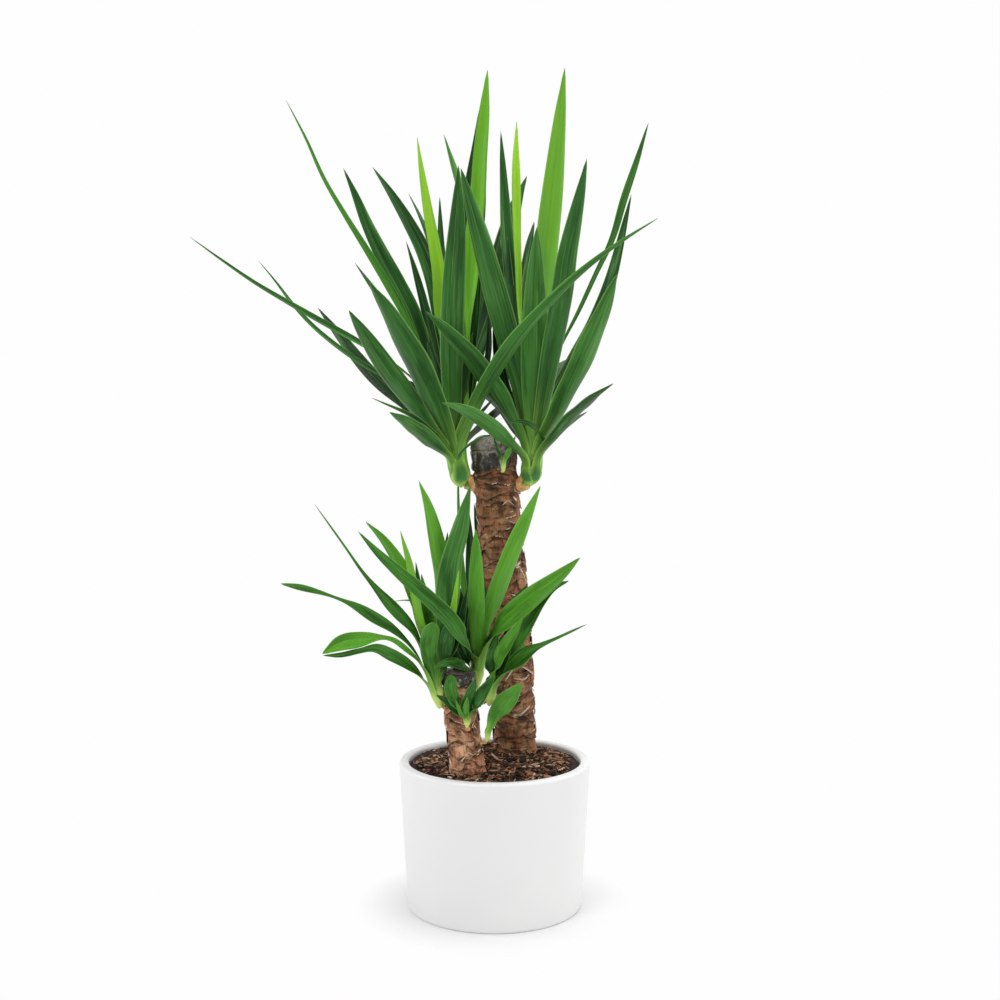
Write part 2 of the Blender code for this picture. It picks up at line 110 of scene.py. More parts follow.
# Leaves
SHEATH_ROWS = 11              # rows of points up a leaf's sheath, and then along its blade
BLADE_ROWS = 44
BLADE_COLUMNS = 9             # points across a row, on each of its two sides
CAD_STATIONS = 9              # sections of a leaf in the CAD
BLADE_THICKNESS = 1.2 * MM
SHEATH_SHARES = np.array([0.0, 0.12, 0.30, 0.60, 1.0])  # where the sheath's line is read, up its height
SHEATH_WRAP = 1.35            # half the arc that a sheath's foot goes round its heart, in radians
SHEATH_LAYER = 0.32 * MM      # how much further out each outer leaf's sheath lies
SHEATH_LAYERS = 6
BLADE_CURL = 0.46             # half the arc of a blade's gutter, in radians
BLADE_FOLD = 0.16             # depth of the fold along a blade's middle, as a share of its half-width
BLADE_RIPPLE = 0.07           # the same for the waves along its edges
# The leaves whose sheaths lie outside all others, and the way in degrees that they leave the heart.
OUTERMOST = {"shoot_upper_left_leaf_14": -80.0, "shoot_upper_right_leaf_12": -65.0}
# Half-width along a blade as a share of the greatest, from the neck to the tip.
OUTLINES = {
    "sword": [(0.0, 0.56), (0.08, 0.62), (0.22, 0.8), (0.36, 0.96), (0.48, 1.0), (0.6, 0.96),
        (0.74, 0.78), (0.86, 0.52), (0.95, 0.24), (1.0, 0.015)],
    "slim": [(0.0, 0.7), (0.1, 0.8), (0.28, 1.0), (0.42, 0.92), (0.56, 0.68), (0.7, 0.5), (0.85, 0.34),
        (0.95, 0.16), (1.0, 0.015)],
    "blunt": [(0.0, 0.4), (0.2, 0.55), (0.5, 0.85), (0.75, 1.0), (0.88, 0.92), (0.96, 0.62), (1.0, 0.1)],
    "pinched": [(0.0, 0.5), (0.2, 0.55), (0.34, 0.68), (0.465, 1.0), (0.57, 0.85), (0.64, 0.42),
        (0.69, 0.2), (0.78, 0.32), (0.88, 0.6), (0.94, 0.5), (1.0, 0.015)],
    "paddle": [(0.0, 0.45), (0.3, 0.42), (0.44, 0.4), (0.52, 0.25), (0.57, 0.22), (0.66, 0.65),
        (0.77, 1.0), (0.87, 0.95), (0.94, 0.6), (1.0, 0.015)],
    "whip": [(0.0, 0.55), (0.12, 0.75), (0.28, 1.0), (0.42, 1.0), (0.48, 0.75), (0.54, 0.4), (0.62, 0.26),
        (0.72, 0.18), (0.9, 0.14), (1.0, 0.015)],
    "lance": [(0.0, 0.36), (0.3, 0.38), (0.46, 0.52), (0.58, 0.64), (0.66, 0.75), (0.76, 0.95),
        (0.83, 1.0), (0.92, 0.62), (0.97, 0.3), (1.0, 0.015)],
    "broad": [(0.0, 0.54), (0.1, 0.6), (0.25, 0.78), (0.4, 0.93), (0.55, 1.0), (0.72, 0.97), (0.86, 0.78),
        (0.94, 0.48), (1.0, 0.015)],
    "spear": [(0.0, 0.48), (0.3, 0.52), (0.46, 0.62), (0.58, 0.7), (0.66, 0.8), (0.76, 0.96), (0.83, 1.0),
        (0.92, 0.62), (0.97, 0.3), (1.0, 0.015)],
    "trailing": [(0.0, 0.6), (0.14, 0.7), (0.31, 0.95), (0.47, 1.0), (0.58, 0.75), (0.66, 0.42),
        (0.8, 0.45), (0.92, 0.35), (1.0, 0.015)],
}


# ---------------------------------------------------------------- numbers

def unit(vectors):
    return vectors / np.maximum(np.linalg.norm(vectors, axis=-1, keepdims=True), 1e-12)


def ease(values, low, high):
    """Smooth step from 0 at low to 1 at high."""
    t = np.clip((values - low) / (high - low), 0.0, 1.0)
    return t * t * (3.0 - 2.0 * t)


def bumps(points, size, seed):
    """Smooth noise from about -1 to 1 at each point, with bumps of the given size."""
    shift = Vector((seed * 7.3, seed * 3.1, seed * 5.7))
    values = [noise.noise(Vector(point) / size + shift) for point in points.reshape(-1, 3).tolist()]
    return np.reshape(values, points.shape[:-1])


def through(places, values, wanted):
    """A smooth curve through the values at increasing places, read at the wanted places."""
    slope = np.gradient(values, places, axis=0)
    cell = np.clip(np.searchsorted(places, wanted, side="right") - 1, 0, len(places) - 2)
    span = places[cell + 1] - places[cell]
    t = (wanted - places[cell]) / span
    if values.ndim > 1:
        t, span = t[:, None], span[:, None]
    start = (2 * t ** 3 - 3 * t ** 2 + 1) * values[cell] + (t ** 3 - 2 * t ** 2 + t) * span * slope[cell]
    return start + (3 * t ** 2 - 2 * t ** 3) * values[cell + 1] + (t ** 3 - t ** 2) * span * slope[cell + 1]


# ---------------------------------------------------------------- reading the frame

def node_points(name):
    """Distinct corners of a CAD node's mesh."""
    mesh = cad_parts[name].data
    points = np.empty(len(mesh.vertices) * 3)
    mesh.vertices.foreach_get("co", points)
    return np.unique(points.reshape(-1, 3).round(6), axis=0)


def section(name, z):
    """Centre (x, y) and mean radius of a node where a level plane cuts it."""
    work = bmesh.new()
    work.from_mesh(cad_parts[name].data)
    cut = bmesh.ops.bisect_plane(work, geom=work.verts[:] + work.edges[:] + work.faces[:],
                                 plane_co=(0.0, 0.0, z), plane_no=(0.0, 0.0, 1.0))
    ring = np.array([v.co.xy for v in cut["geom_cut"] if isinstance(v, bmesh.types.BMVert)])
    work.free()
    centre = (ring.min(axis=0) + ring.max(axis=0)) / 2.0
    return centre, np.linalg.norm(ring - centre, axis=1).mean()


class Axis:
    """The middle line and radius of an upright node between two heights."""

    def __init__(self, name, low, high, slices):
        self.z = np.linspace(low, high, slices)
        cuts = [section(name, z) for z in self.z]
        self.xy = np.array([centre for centre, _ in cuts])
        self.radii = np.array([radius for _, radius in cuts])

    def centre(self, z):
        z = np.asarray(z, float)
        x, y = (np.interp(z, self.z, self.xy[:, side]) for side in (0, 1))
        return np.stack([x, y, z], axis=-1)

    def radius(self, z):
        return np.interp(z, self.z, self.radii)


@functools.lru_cache(maxsize=None)
def cane_axis(node):
    """A cane's middle line and radius."""
    low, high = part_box(node)
    return Axis(node, low.z + CANE_END, high.z - CANE_END, CANE_SLICES)


# ---------------------------------------------------------------- meshes

def tube_faces(rows, columns):
    """A tube's quads, and a fan at each end to one extra point: the first end's, then the last's."""
    row, column = np.meshgrid(np.arange(rows - 1), np.arange(columns), indexing="ij")
    after = (column + 1) % columns
    quads = np.stack([row * columns + column, row * columns + after,
                      (row + 1) * columns + after, (row + 1) * columns + column], axis=-1)
    first, last = rows * columns, rows * columns + 1
    top = (rows - 1) * columns
    faces = quads.reshape(-1, 4).tolist()
    faces += [(first, (c + 1) % columns, c) for c in range(columns)]
    faces += [(last, top + c, top + (c + 1) % columns) for c in range(columns)]
    return faces


def with_ends(rows):
    """Flat list of a tube's points, closed by the middle of its first and last row."""
    return np.concatenate([rows.reshape(-1, 3), rows[:1].mean(axis=1), rows[-1:].mean(axis=1)])


def spread(values):
    """Per-point values of a tube, with its two end points' values added."""
    return np.concatenate([values.reshape(-1), [values[0].mean(), values[-1].mean()]])


def placed(name, data):
    """A new object in the scene."""
    made = bpy.data.objects.new(name, data)
    bpy.context.scene.collection.objects.link(made)
    return made


def make_piece(name, points, faces, finish, slot, replaced=(), **values):
    """A smooth piece that rides on the part, with named values stored at its points."""
    mesh = bpy.data.meshes.new(name)
    mesh.from_pydata(np.asarray(points).tolist(), [], faces)
    mesh.update()
    for key, numbers in values.items():
        stored = mesh.attributes.new(key, "FLOAT", "POINT")
        stored.data.foreach_set("value", np.asarray(numbers, np.float32))
    mesh.polygons.foreach_set("use_smooth", [True] * len(mesh.polygons))
    mesh.materials.append(finish)
    piece = placed(name, mesh)
    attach(piece, "root")
    if replaced:
        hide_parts(*replaced)
    return piece


class Heap:
    """Many small closed bodies gathered into one mesh."""

    def __init__(self):
        self.points, self.faces, self.values = [], [], {}
        self.count = 0

    def add(self, points, faces, **values):
        self.points.append(points)
        self.faces += [tuple(corner + self.count for corner in face) for face in faces]
        for key, number in values.items():
            self.values.setdefault(key, []).append(np.broadcast_to(number, len(points)))
        self.count += len(points)

    def piece(self, name, finish, slot):
        values = {key: np.concatenate(parts) for key, parts in self.values.items()}
        return make_piece(name, np.concatenate(self.points), self.faces, finish, slot, **values)


def strand(line, radius, sides):
    """A thin tapering rod along a line: points and faces."""
    along = unit(np.gradient(line, axis=0))
    side = unit(np.cross(along, (0.13, 0.31, 0.94)))
    other = np.cross(along, side)
    taper = radius * (1.0 - 0.75 * np.linspace(-1.0, 1.0, len(line)) ** 4)
    angles = np.linspace(0.0, 2.0 * math.pi, sides, endpoint=False)[None, :, None]
    ring = side[:, None] * np.cos(angles) + other[:, None] * np.sin(angles)
    rows = line[:, None] + ring * taper[:, None, None]
    return with_ends(rows), tube_faces(len(line), sides)


# ---------------------------------------------------------------- materials

class Finish:
    """A material written node by node round one Principled shader."""

    def __init__(self, name, **sockets):
        self.material = bpy.data.materials.new(name)
        self.material.use_nodes = True
        self.tree = self.material.node_tree
        self.shader = self.tree.nodes["Principled BSDF"]
        for socket, value in sockets.items():
            self.shader.inputs[socket.replace("_", " ")].default_value = value

    def feed(self, socket, value):
        if isinstance(value, bpy.types.NodeSocket):
            self.tree.links.new(value, socket)
        elif isinstance(value, tuple) and len(value) == 3 and socket.type == "RGBA":
            socket.default_value = (*value, 1.0)
        else:
            socket.default_value = value

    def node(self, kind, inputs, **settings):
        made = self.tree.nodes.new(kind)
        for key, value in settings.items():
            setattr(made, key, value)
        for key, value in inputs.items():
            self.feed(made.inputs[key], value)
        return made

    def value(self, name):
        """A number stored at the mesh's points."""
        return self.node("ShaderNodeAttribute", {}, attribute_name=name).outputs["Fac"]

    def place(self):
        return self.node("ShaderNodeTexCoord", {}).outputs["Object"]

    def vector(self, x, y, z=0.0):
        return self.node("ShaderNodeCombineXYZ", {0: x, 1: y, 2: z}).outputs[0]

    def maths(self, operation, a, b=0.0):
        return self.node("ShaderNodeMath", {0: a, 1: b}, operation=operation).outputs[0]

    def times(self, a, b):
        return self.maths("MULTIPLY", a, b)

    def remap(self, value, low, high, to_low=0.0, to_high=1.0):
        inputs = {"Value": value, "From Min": low, "From Max": high, "To Min": to_low, "To Max": to_high}
        return self.node("ShaderNodeMapRange", inputs, interpolation_type="SMOOTHSTEP").outputs[0]

    def stretch(self, vector, scale):
        return self.node("ShaderNodeVectorMath", {0: vector, 1: scale}, operation="MULTIPLY").outputs[0]

    def speckle(self, vector, scale, detail=3.0, roughness=0.55):
        inputs = {"Vector": vector, "Scale": scale, "Detail": detail, "Roughness": roughness}
        return self.node("ShaderNodeTexNoise", inputs).outputs["Fac"]

    def mix(self, share, a, b, blend="MIX"):
        made = self.node("ShaderNodeMix", {}, data_type="RGBA", blend_type=blend)
        self.feed(made.inputs[0], share)
        self.feed(made.inputs[6], a)
        self.feed(made.inputs[7], b)
        return made.outputs[2]

    def ramp(self, value, *stops):
        made = self.node("ShaderNodeValToRGB", {"Fac": value})
        while len(made.color_ramp.elements) < len(stops):
            made.color_ramp.elements.new(0.5)
        for element, (place, colour) in zip(made.color_ramp.elements, stops):
            element.position = place
            element.color = (*colour, 1.0)
        return made.outputs["Color"]

    def bump(self, height, strength, distance):
        inputs = {"Height": height, "Strength": strength, "Distance": distance}
        return self.node("ShaderNodeBump", inputs).outputs["Normal"]

    def finish(self, colour=None, roughness=None, normal=None):
        for socket, value in (("Base Color", colour), ("Roughness", roughness), ("Normal", normal)):
            if value is not None:
                self.feed(self.shader.inputs[socket], value)
        return self.material


def glaze_finish():
    """White satin glaze, all but even."""
    made = Finish("white_glaze", Specular_IOR_Level=0.40, Coat_Weight=0.15, Coat_Roughness=0.15)
    place = made.place()
    cloud = made.speckle(place, 9.0, 1.0)
    colour = made.ramp(cloud, (0.3, (0.772, 0.772, 0.770)), (0.7, (0.790, 0.788, 0.784)))
    roughness = made.remap(made.speckle(place, 30.0, 1.0), 0.3, 0.7, 0.30, 0.36)
    return made.finish(colour, roughness, made.bump(made.speckle(place, 330.0, 1.0), 0.04, 0.1 * MM))


def mulch_finish():
    """Bark chips and dust, darker or redder from one chip to the next."""
    made = Finish("bark_mulch", Specular_IOR_Level=0.25)
    place = made.place()
    grain = made.speckle(place, 520.0, 4.0, 0.65)
    pick = made.value("pick")
    chip = made.ramp(pick, (0.0, (0.008, 0.004, 0.003)), (0.32, (0.032, 0.014, 0.007)),
                     (0.52, (0.170, 0.070, 0.032)), (0.74, (0.42, 0.22, 0.120)), (1.0, (0.82, 0.62, 0.45)))
    colour = made.mix(made.remap(grain, 0.25, 0.55, 0.50, 0.0), chip, (0.006, 0.003, 0.002))
    return made.finish(colour, made.remap(grain, 0.3, 0.7, 0.7, 0.95), made.bump(grain, 0.5, 0.6 * MM))


def bark_finish(name, dark, mid, light, red):
    """Brown cane bark: fibres, painted shade just under the scars' lips, and the lips painted paler, partly
    worn and partly a painted highlight.
    """
    made = Finish(name, Specular_IOR_Level=0.20)
    place = made.place()
    wrap = made.vector(made.value("around"), made.value("rise"))
    fibre = made.speckle(made.stretch(wrap, (520.0, 90.0, 1.0)), 1.0, 4.0, 0.6)
    strata = made.speckle(made.stretch(wrap, (45.0, 200.0, 1.0)), 1.0, 4.0, 0.60)
    patch = made.speckle(place, 55.0, 4.0, 0.60)
    rust = made.speckle(made.stretch(place, (1.0, 1.0, 0.6)), 85.0, 2.0, 0.5)
    brown = made.ramp(patch, (0.36, dark), (0.50, mid), (0.64, light))
    brown = made.mix(made.remap(rust, 0.48, 0.60, 0.0, 0.70), brown, red)
    brown = made.mix(made.remap(fibre, 0.50, 0.62, 0.0, 0.55), brown, dark)
    brown = made.mix(made.remap(strata, 0.35, 0.46, 0.85, 0.0), brown, dark)
    brown = made.mix(made.remap(strata, 0.56, 0.68, 0.0, 0.65), brown, light)
    # Painted highlight and wear: the scar lips go paler, partly as worn edges, partly for the light they
    # catch.
    brown = made.mix(made.times(made.value("lip"), 0.55), brown, light)
    # Painted shade: near-black in the band just under each scar's lip, where the lip overhangs.
    brown = made.mix(made.value("crack"), brown, (0.010, 0.004, 0.002))
    brown = made.mix(made.value("torn"), brown, (0.90, 0.72, 0.54))
    height = made.maths("ADD", made.times(fibre, 0.5), strata)
    normal = made.bump(height, 0.50, 1.0 * MM)
    return made.finish(brown, made.remap(fibre, 0.3, 0.7, 0.62, 0.88), normal)


def straw_finish():
    """Pale torn fibres."""
    made = Finish("torn_fibre", Specular_IOR_Level=0.25)
    grain = made.speckle(made.place(), 380.0)
    pale = made.ramp(made.value("pick"), (0.0, (0.30, 0.17, 0.095)), (0.5, (0.56, 0.38, 0.24)),
                     (1.0, (0.95, 0.82, 0.66)))
    colour = made.mix(made.remap(grain, 0.35, 0.65, 0.35, 0.0), pale, (0.22, 0.12, 0.07))
    return made.finish(colour, made.remap(grain, 0.3, 0.7, 0.6, 0.85), made.bump(grain, 0.3, 0.3 * MM))


def wax_finish(name, tone, rim):
    """Sealing wax: pale on top, a band of the rim's colour, and dark with silvery runs below; its folds are
    painted dark as shade.
    """
    made = Finish(name, Specular_IOR_Level=0.4)
    place = made.place()
    runs = made.speckle(made.stretch(place, (110.0, 110.0, 70.0)), 1.0, 4.0, 0.65)
    cloud = made.speckle(made.stretch(place, (1.0, 1.0, 2.5)), 95.0)
    dark = made.ramp(runs, (0.42, (0.014, 0.012, 0.009)),
                     (0.53, (0.060, 0.055, 0.042)), (0.63, (0.38, 0.355, 0.29)))
    edge = made.ramp(cloud, (0.38, tuple(0.35 * part for part in rim)), (0.60, rim))
    pale = made.ramp(cloud, (0.36, tuple(0.40 * part for part in tone)), (0.62, tone))
    colour = made.mix(made.value("band"), dark, edge)
    colour = made.mix(made.value("top"), colour, pale)
    # Painted shade: near-black in the troughs of the folds and along the brow where the dome meets the
    # sides.
    colour = made.mix(made.times(made.value("crease"), 0.9), colour, (0.012, 0.009, 0.007))
    return made.finish(colour, made.remap(cloud, 0.3, 0.7, 0.32, 0.58), made.bump(runs, 0.35, 0.6 * MM))


def stem_finish():
    """Orange-brown woody stub below, pale green sheath above."""
    made = Finish("shoot_stem", Specular_IOR_Level=0.35)
    place = made.place()
    grain = made.speckle(made.stretch(place, (240.0, 240.0, 900.0)), 1.0, 3.0, 0.6)
    blot = made.speckle(place, 150.0)
    wood = made.ramp(blot, (0.35, (0.52, 0.24, 0.080)), (0.55, (0.74, 0.40, 0.160)),
                     (0.70, (0.88, 0.57, 0.280)))
    wood = made.mix(made.remap(grain, 0.55, 0.75, 0.0, 0.6), wood, (0.18, 0.065, 0.022))
    green = made.ramp(blot, (0.3, (0.07, 0.22, 0.030)), (0.7, (0.16, 0.36, 0.045)))
    colour = made.mix(made.value("green"), wood, green)
    return made.finish(colour, made.remap(grain, 0.3, 0.7, 0.42, 0.62), made.bump(grain, 0.3, 0.4 * MM))


def leaf_finish():
    """Sword leaf: soft lengthwise streaks, painted sheen in broad paler bluish patches, a thin pale margin,
    and yellow-green at the sheath and neck.
    """
    made = Finish("yucca_leaf", Specular_IOR_Level=0.13)
    along = made.value("along")
    across = made.value("across")
    tint = made.value("tint")
    pale = made.value("pale")
    off_middle = made.maths("ABSOLUTE", across)
    seed = made.times(made.value("pick"), 37.0)

    def streaks(over, down, roughness):
        place = made.vector(made.times(across, over), made.times(along, down), seed)
        return made.speckle(place, 1.0, 3.0, roughness)

    broad = streaks(1.1, 3.2, 0.5)
    veins = streaks(9.0, 2.2, 0.6)
    body = made.ramp(tint, (0.0, (0.004, 0.030, 0.006)), (0.25, (0.020, 0.108, 0.014)),
                     (0.50, (0.050, 0.195, 0.020)), (0.75, (0.110, 0.370, 0.016)),
                     (1.0, (0.370, 0.700, 0.030)))
    deep = made.mix(1.0, body, (0.22, 0.32, 0.22), "MULTIPLY")
    calm = made.remap(tint, 0.35, 0.90, 1.0, 0.25)
    body = made.mix(made.times(made.remap(broad, 0.36, 0.52, 0.85, 0.0), calm), body, deep)
    # Painted sheen: broad paler, bluish patches standing in for the lamps' gloss on the blades.
    body = made.mix(made.remap(broad, 0.54, 0.68, 0.0, 0.40), body, (0.130, 0.320, 0.085))
    body = made.mix(made.times(made.remap(veins, 0.38, 0.52, 0.50, 0.0), calm), body, deep)
    body = made.mix(made.remap(veins, 0.56, 0.68, 0.0, 0.30), body, (0.22, 0.46, 0.09))
    body = made.mix(made.times(made.value("under"), 0.15), body, (0.095, 0.260, 0.080))
    body = made.mix(made.remap(off_middle, 0.0, 0.09, 0.08, 0.0), body, (0.16, 0.36, 0.09))
    body = made.mix(made.remap(off_middle, 0.88, 0.98, 0.0, 0.50), body, (0.24, 0.46, 0.11))

    above_foot = made.remap(along, -0.45, 0.02, 0.12, 1.0)
    near_neck = made.times(made.remap(along, -0.10, 0.30, 1.0, 0.0), above_foot)
    fresh = made.times(made.remap(off_middle, 0.30, 0.85, 0.48, 1.0), near_neck)
    fresh = made.times(fresh, made.remap(veins, 0.38, 0.58, 0.62, 1.0))
    body = made.mix(fresh, body, (0.36, 0.66, 0.105))
    bulb = made.mix(made.remap(off_middle, 0.35, 0.85), (0.070, 0.240, 0.060), (0.50, 0.76, 0.17))
    bulb = made.mix(made.remap(along, -0.90, -0.60, 0.95, 0.0), bulb, (0.52, 0.78, 0.15))
    foot = made.mix(pale, bulb, (0.60, 0.76, 0.20))
    foot_share = made.remap(made.maths("ADD", along, made.times(pale, -0.25)), -0.80, -0.05, 0.95, 0.0)
    body = made.mix(foot_share, body, foot)
    body = made.mix(made.remap(along, 0.985, 1.0), body, (0.16, 0.10, 0.04))
    roughness = made.remap(broad, 0.3, 0.7, 0.36, 0.52)
    return made.finish(body, roughness, made.bump(veins, 0.25, 0.30 * MM))


# ---------------------------------------------------------------- pot

def arc(centre, radius, start, end, steps):
    """Points (r, z) on an arc, angles in degrees."""
    angles = np.radians(np.linspace(start, end, steps + 1))
    return np.stack([centre[0] + radius * np.cos(angles), centre[1] + radius * np.sin(angles)], axis=-1)


def straight(a, b, steps):
    """Points between two corners of a profile, without its ends."""
    shares = np.linspace(0.0, 1.0, steps + 2)[1:-1, None]
    return np.array(a) * (1.0 - shares) + np.array(b) * shares


@functools.lru_cache(maxsize=None)
def pot_profile():
    """Radius and height from the well's floor over the lip to the foot, read from the CAD pot."""
    points = node_points("pot")
    reach = np.hypot(points[:, 0], points[:, 1])
    height = points[:, 2].max()
    at_lip = reach[points[:, 2] > height - LIP_ROUND - 0.1 * MM]
    rim, mouth = at_lip.max(), at_lip.min()
    base = reach[points[:, 2] < FOOT_ROUND + 0.1 * MM].max()
    inside = points[(reach < mouth - MM) & (points[:, 2] > MM)]
    floor = inside[:, 2].min()
    well = np.hypot(inside[:, 0], inside[:, 1]).max()
    fillet = arc((well - WELL_FILLET, floor + WELL_FILLET), WELL_FILLET, -90, 0, 8)
    lip_in = arc((mouth + LIP_ROUND, height - LIP_ROUND), LIP_ROUND, 180, 90, 10)
    lip_out = arc((rim - LIP_ROUND, height - LIP_ROUND), LIP_ROUND, 90, 0, 10)
    foot = arc((base - FOOT_ROUND, FOOT_ROUND), FOOT_ROUND, 0, -90, 8)
    return np.concatenate([
        fillet, straight(fillet[-1], lip_in[0], 12), lip_in, straight(lip_in[-1], lip_out[0], 3),
        lip_out, straight(lip_out[-1], foot[0], 24), foot])


def build_pot(finish):
    """The pot's profile turned about its axis."""
    profile = pot_profile()
    angles = np.linspace(0.0, 2.0 * math.pi, POT_STEPS, endpoint=False)
    turned_rows = np.stack([profile[:, :1] * np.cos(angles), profile[:, :1] * np.sin(angles),
                            np.repeat(profile[:, 1:], POT_STEPS, axis=1)], axis=-1)
    faces = tube_faces(len(profile), POT_STEPS)
    return make_piece("white_pot", with_ends(turned_rows), faces, finish, "pot_glaze", ["pot"])


# ---------------------------------------------------------------- mulch

@functools.lru_cache(maxsize=None)
def ground():
    """Height of the mulch's edge."""
    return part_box("pot")[1].z - SOIL_BELOW_RIM


def soil_radius(z):
    """Radius of the mulch inside the pot at a height."""
    wall = pot_profile()[:WELL_POINTS]
    return np.interp(z, wall[:, 1], wall[:, 0]) - SOIL_SIDE_GAP


def mulch_top(points):
    """Height of the mulch over points (x, y)."""
    share = np.hypot(points[..., 0], points[..., 1]) / soil_radius(ground())
    flat = np.concatenate([points, np.zeros_like(points[..., :1])], axis=-1)
    clods = bumps(flat, 14.0 * MM, 3.0) * 1.6 * MM + bumps(flat, 5.0 * MM, 5.0) * 0.9 * MM
    return ground() + SOIL_MOUND * (1.0 - share ** 2) + clods


def build_mulch_bed(finish):
    """The filling of the pot: a lumpy top that closes down to the well's floor."""
    rings, steps = 70, 160
    radius = soil_radius(ground())
    angles = np.linspace(0.0, 2.0 * math.pi, steps, endpoint=False)
    reach = radius * np.linspace(0.01, 1.0, rings)
    xy = np.stack([reach[:, None] * np.cos(angles), reach[:, None] * np.sin(angles)], axis=-1)
    top = np.concatenate([xy, mulch_top(xy)[..., None]], axis=-1)
    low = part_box("soil")[0].z
    sides = []
    for z in np.linspace(ground() - 6.0 * MM, low, 14):
        r = min(soil_radius(z), radius)
        sides.append(np.stack([r * np.cos(angles), r * np.sin(angles), np.full(steps, z)], axis=-1))
    rows = np.concatenate([top, np.array(sides)])
    shade = 0.10 + 0.2 * bumps(rows, 4.0 * MM, 9.0)
    faces = [face[::-1] for face in tube_faces(len(rows), steps)]
    return make_piece("mulch_bed", with_ends(rows), faces, finish, "bark_mulch", ["soil"],
                      pick=spread(shade))


CHIP_CORNERS = [(-1, -1, -1), (1, -1, -1), (1, 1, -1), (-1, 1, -1),
                (-1, -1, 1), (1, -1, 1), (1, 1, 1), (-1, 1, 1)]
CHIP_FACES = [(0, 3, 2, 1), (4, 5, 6, 7), (0, 1, 5, 4), (1, 2, 6, 5), (2, 3, 7, 6), (3, 0, 4, 7)]


def build_chips(finish):
    """Splinters and flakes of bark lying every way on the bed."""
    rng = np.random.default_rng(11)
    heap = Heap()
    rim_reach = soil_radius(ground())
    for _ in range(CHIP_COUNT):
        length = rng.uniform(6.0, 25.0) * MM
        width = rng.uniform(1.2, 4.0) * MM
        thick = rng.uniform(0.7, 1.6) * MM
        reach = (rim_reach - length * 0.5) * math.sqrt(rng.uniform(0.0, 1.0))
        turn = rng.uniform(0.0, 2.0 * math.pi)
        xy = np.array([reach * math.cos(turn), reach * math.sin(turn)])
        heading = rng.uniform(0.0, 2.0 * math.pi)
        tilt = rng.normal(0.0, 0.24)
        roll = rng.normal(0.0, 0.6)
        level = math.cos(tilt)
        long_way = np.array([math.cos(heading) * level, math.sin(heading) * level, math.sin(tilt)])
        wide_way = unit(np.cross((0.0, 0.0, 1.0), long_way) + np.array([0.0, 0.0, roll * 0.6]))
        thin_way = np.cross(long_way, wide_way)
        jitter = rng.uniform(0.55, 1.0, (8, 2))
        centre = np.array([xy[0], xy[1], mulch_top(xy[None])[0] + rng.uniform(-0.8, 2.2) * MM])
        body = [centre + long_way * (c[0] * length / 2 * j[0]) + wide_way * (c[1] * width / 2 * j[1])
                + thin_way * (c[2] * thick / 2) for c, j in zip(CHIP_CORNERS, jitter)]
        heap.add(np.array(body), CHIP_FACES, pick=float(rng.beta(1.5, 2.2)))
    chips = heap.piece("mulch_chips", finish, "bark_mulch")
    chips.data.polygons.foreach_set("use_smooth", [False] * len(chips.data.polygons))
    return chips


def build_fibres(finish):
    """Thin curved shreds among the chips."""
    rng = np.random.default_rng(23)
    heap = Heap()
    rim_reach = soil_radius(ground()) - 3.0 * MM
    for _ in range(FIBRE_COUNT):
        length = rng.uniform(5.0, 20.0) * MM
        reach = rim_reach * math.sqrt(rng.uniform(0.0, 1.0))
        turn, heading = rng.uniform(0.0, 2.0 * math.pi, 2)
        bend = rng.uniform(-1.4, 1.4)
        middle = np.array([reach * math.cos(turn), reach * math.sin(turn)])
        t = np.linspace(-0.5, 0.5, 7)
        swing = heading + bend * t
        xy = middle + np.stack([np.cos(swing), np.sin(swing)], axis=-1) * (t * length)[:, None]
        inside = np.hypot(xy[:, 0], xy[:, 1]) / rim_reach
        xy /= np.maximum(inside, 1.0)[:, None]
        z = mulch_top(xy) + rng.uniform(0.6, 2.2) * MM + np.sin(t * math.pi) * rng.normal(0.0, 1.2) * MM
        points, faces = strand(np.column_stack([xy, z]), rng.uniform(0.22, 0.5) * MM, 4)
        heap.add(points, faces, pick=float(rng.beta(1.4, 2.2)))
    return heap.piece("mulch_fibres", finish, "bark_mulch")


# ---------------------------------------------------------------- canes

def scars_at(angle, z, low, high, wobble):
    """Relief of overlapping leaf scars, how close a point is to a lip above it, and how near it lies under
    a scar's edge, where shade is painted.
    """
    relief = np.zeros_like(z)
    lip = np.zeros_like(z)
    crack = np.zeros_like(z)
    level = z + wobble
    for index in range(int((high - low) / SCAR_STEP) + 6):
        turn = np.abs((angle - index * GOLDEN_ANGLE + math.pi) % (2.0 * math.pi) - math.pi) / SCAR_REACH
        edge = low - 4.0 * SCAR_STEP + index * SCAR_STEP + SCAR_DROP * turn ** 1.25
        above = level - edge
        side = np.clip(1.0 - turn ** 4, 0.0, 1.0)
        depth = SCAR_DEPTH * (0.55 + 0.45 * math.sin(index * 2.4) ** 2)
        proud = np.where(above > 0.0, depth * side * np.clip(1.0 - above / SCAR_FADE, 0.0, 1.0), 0.0)
        on_top = proud > relief
        relief = np.where(on_top, proud, relief)
        near = np.exp(-np.clip(above, 0.0, None) / (1.5 * MM)) * side
        lip = np.where(on_top, near, lip)
        # Just under a scar's lower edge: the band that the bark finish paints dark as shade.
        under = np.exp(np.clip(above, None, 0.0) / (1.9 * MM)) * side * (above <= 0.0)
        crack = np.maximum(crack, under * (turn < 1.0))
    return relief, lip * (relief > 0.0), crack * (1.0 - lip)


def cane_lean(z):
    """How far to the left of its axis the bark of a cane stands at a height."""
    return TOP_LEAN * ease(z, LEAN_FROM, LEAN_TO)


def on_bark(axis, angle, z, off):
    """Points round a cane at some distance off its radius."""
    reach = axis.radius(z) + off
    spot = axis.centre(z)
    spot[..., 0] += reach * np.cos(angle) - cane_lean(z)
    spot[..., 1] += reach * np.sin(angle)
    return spot


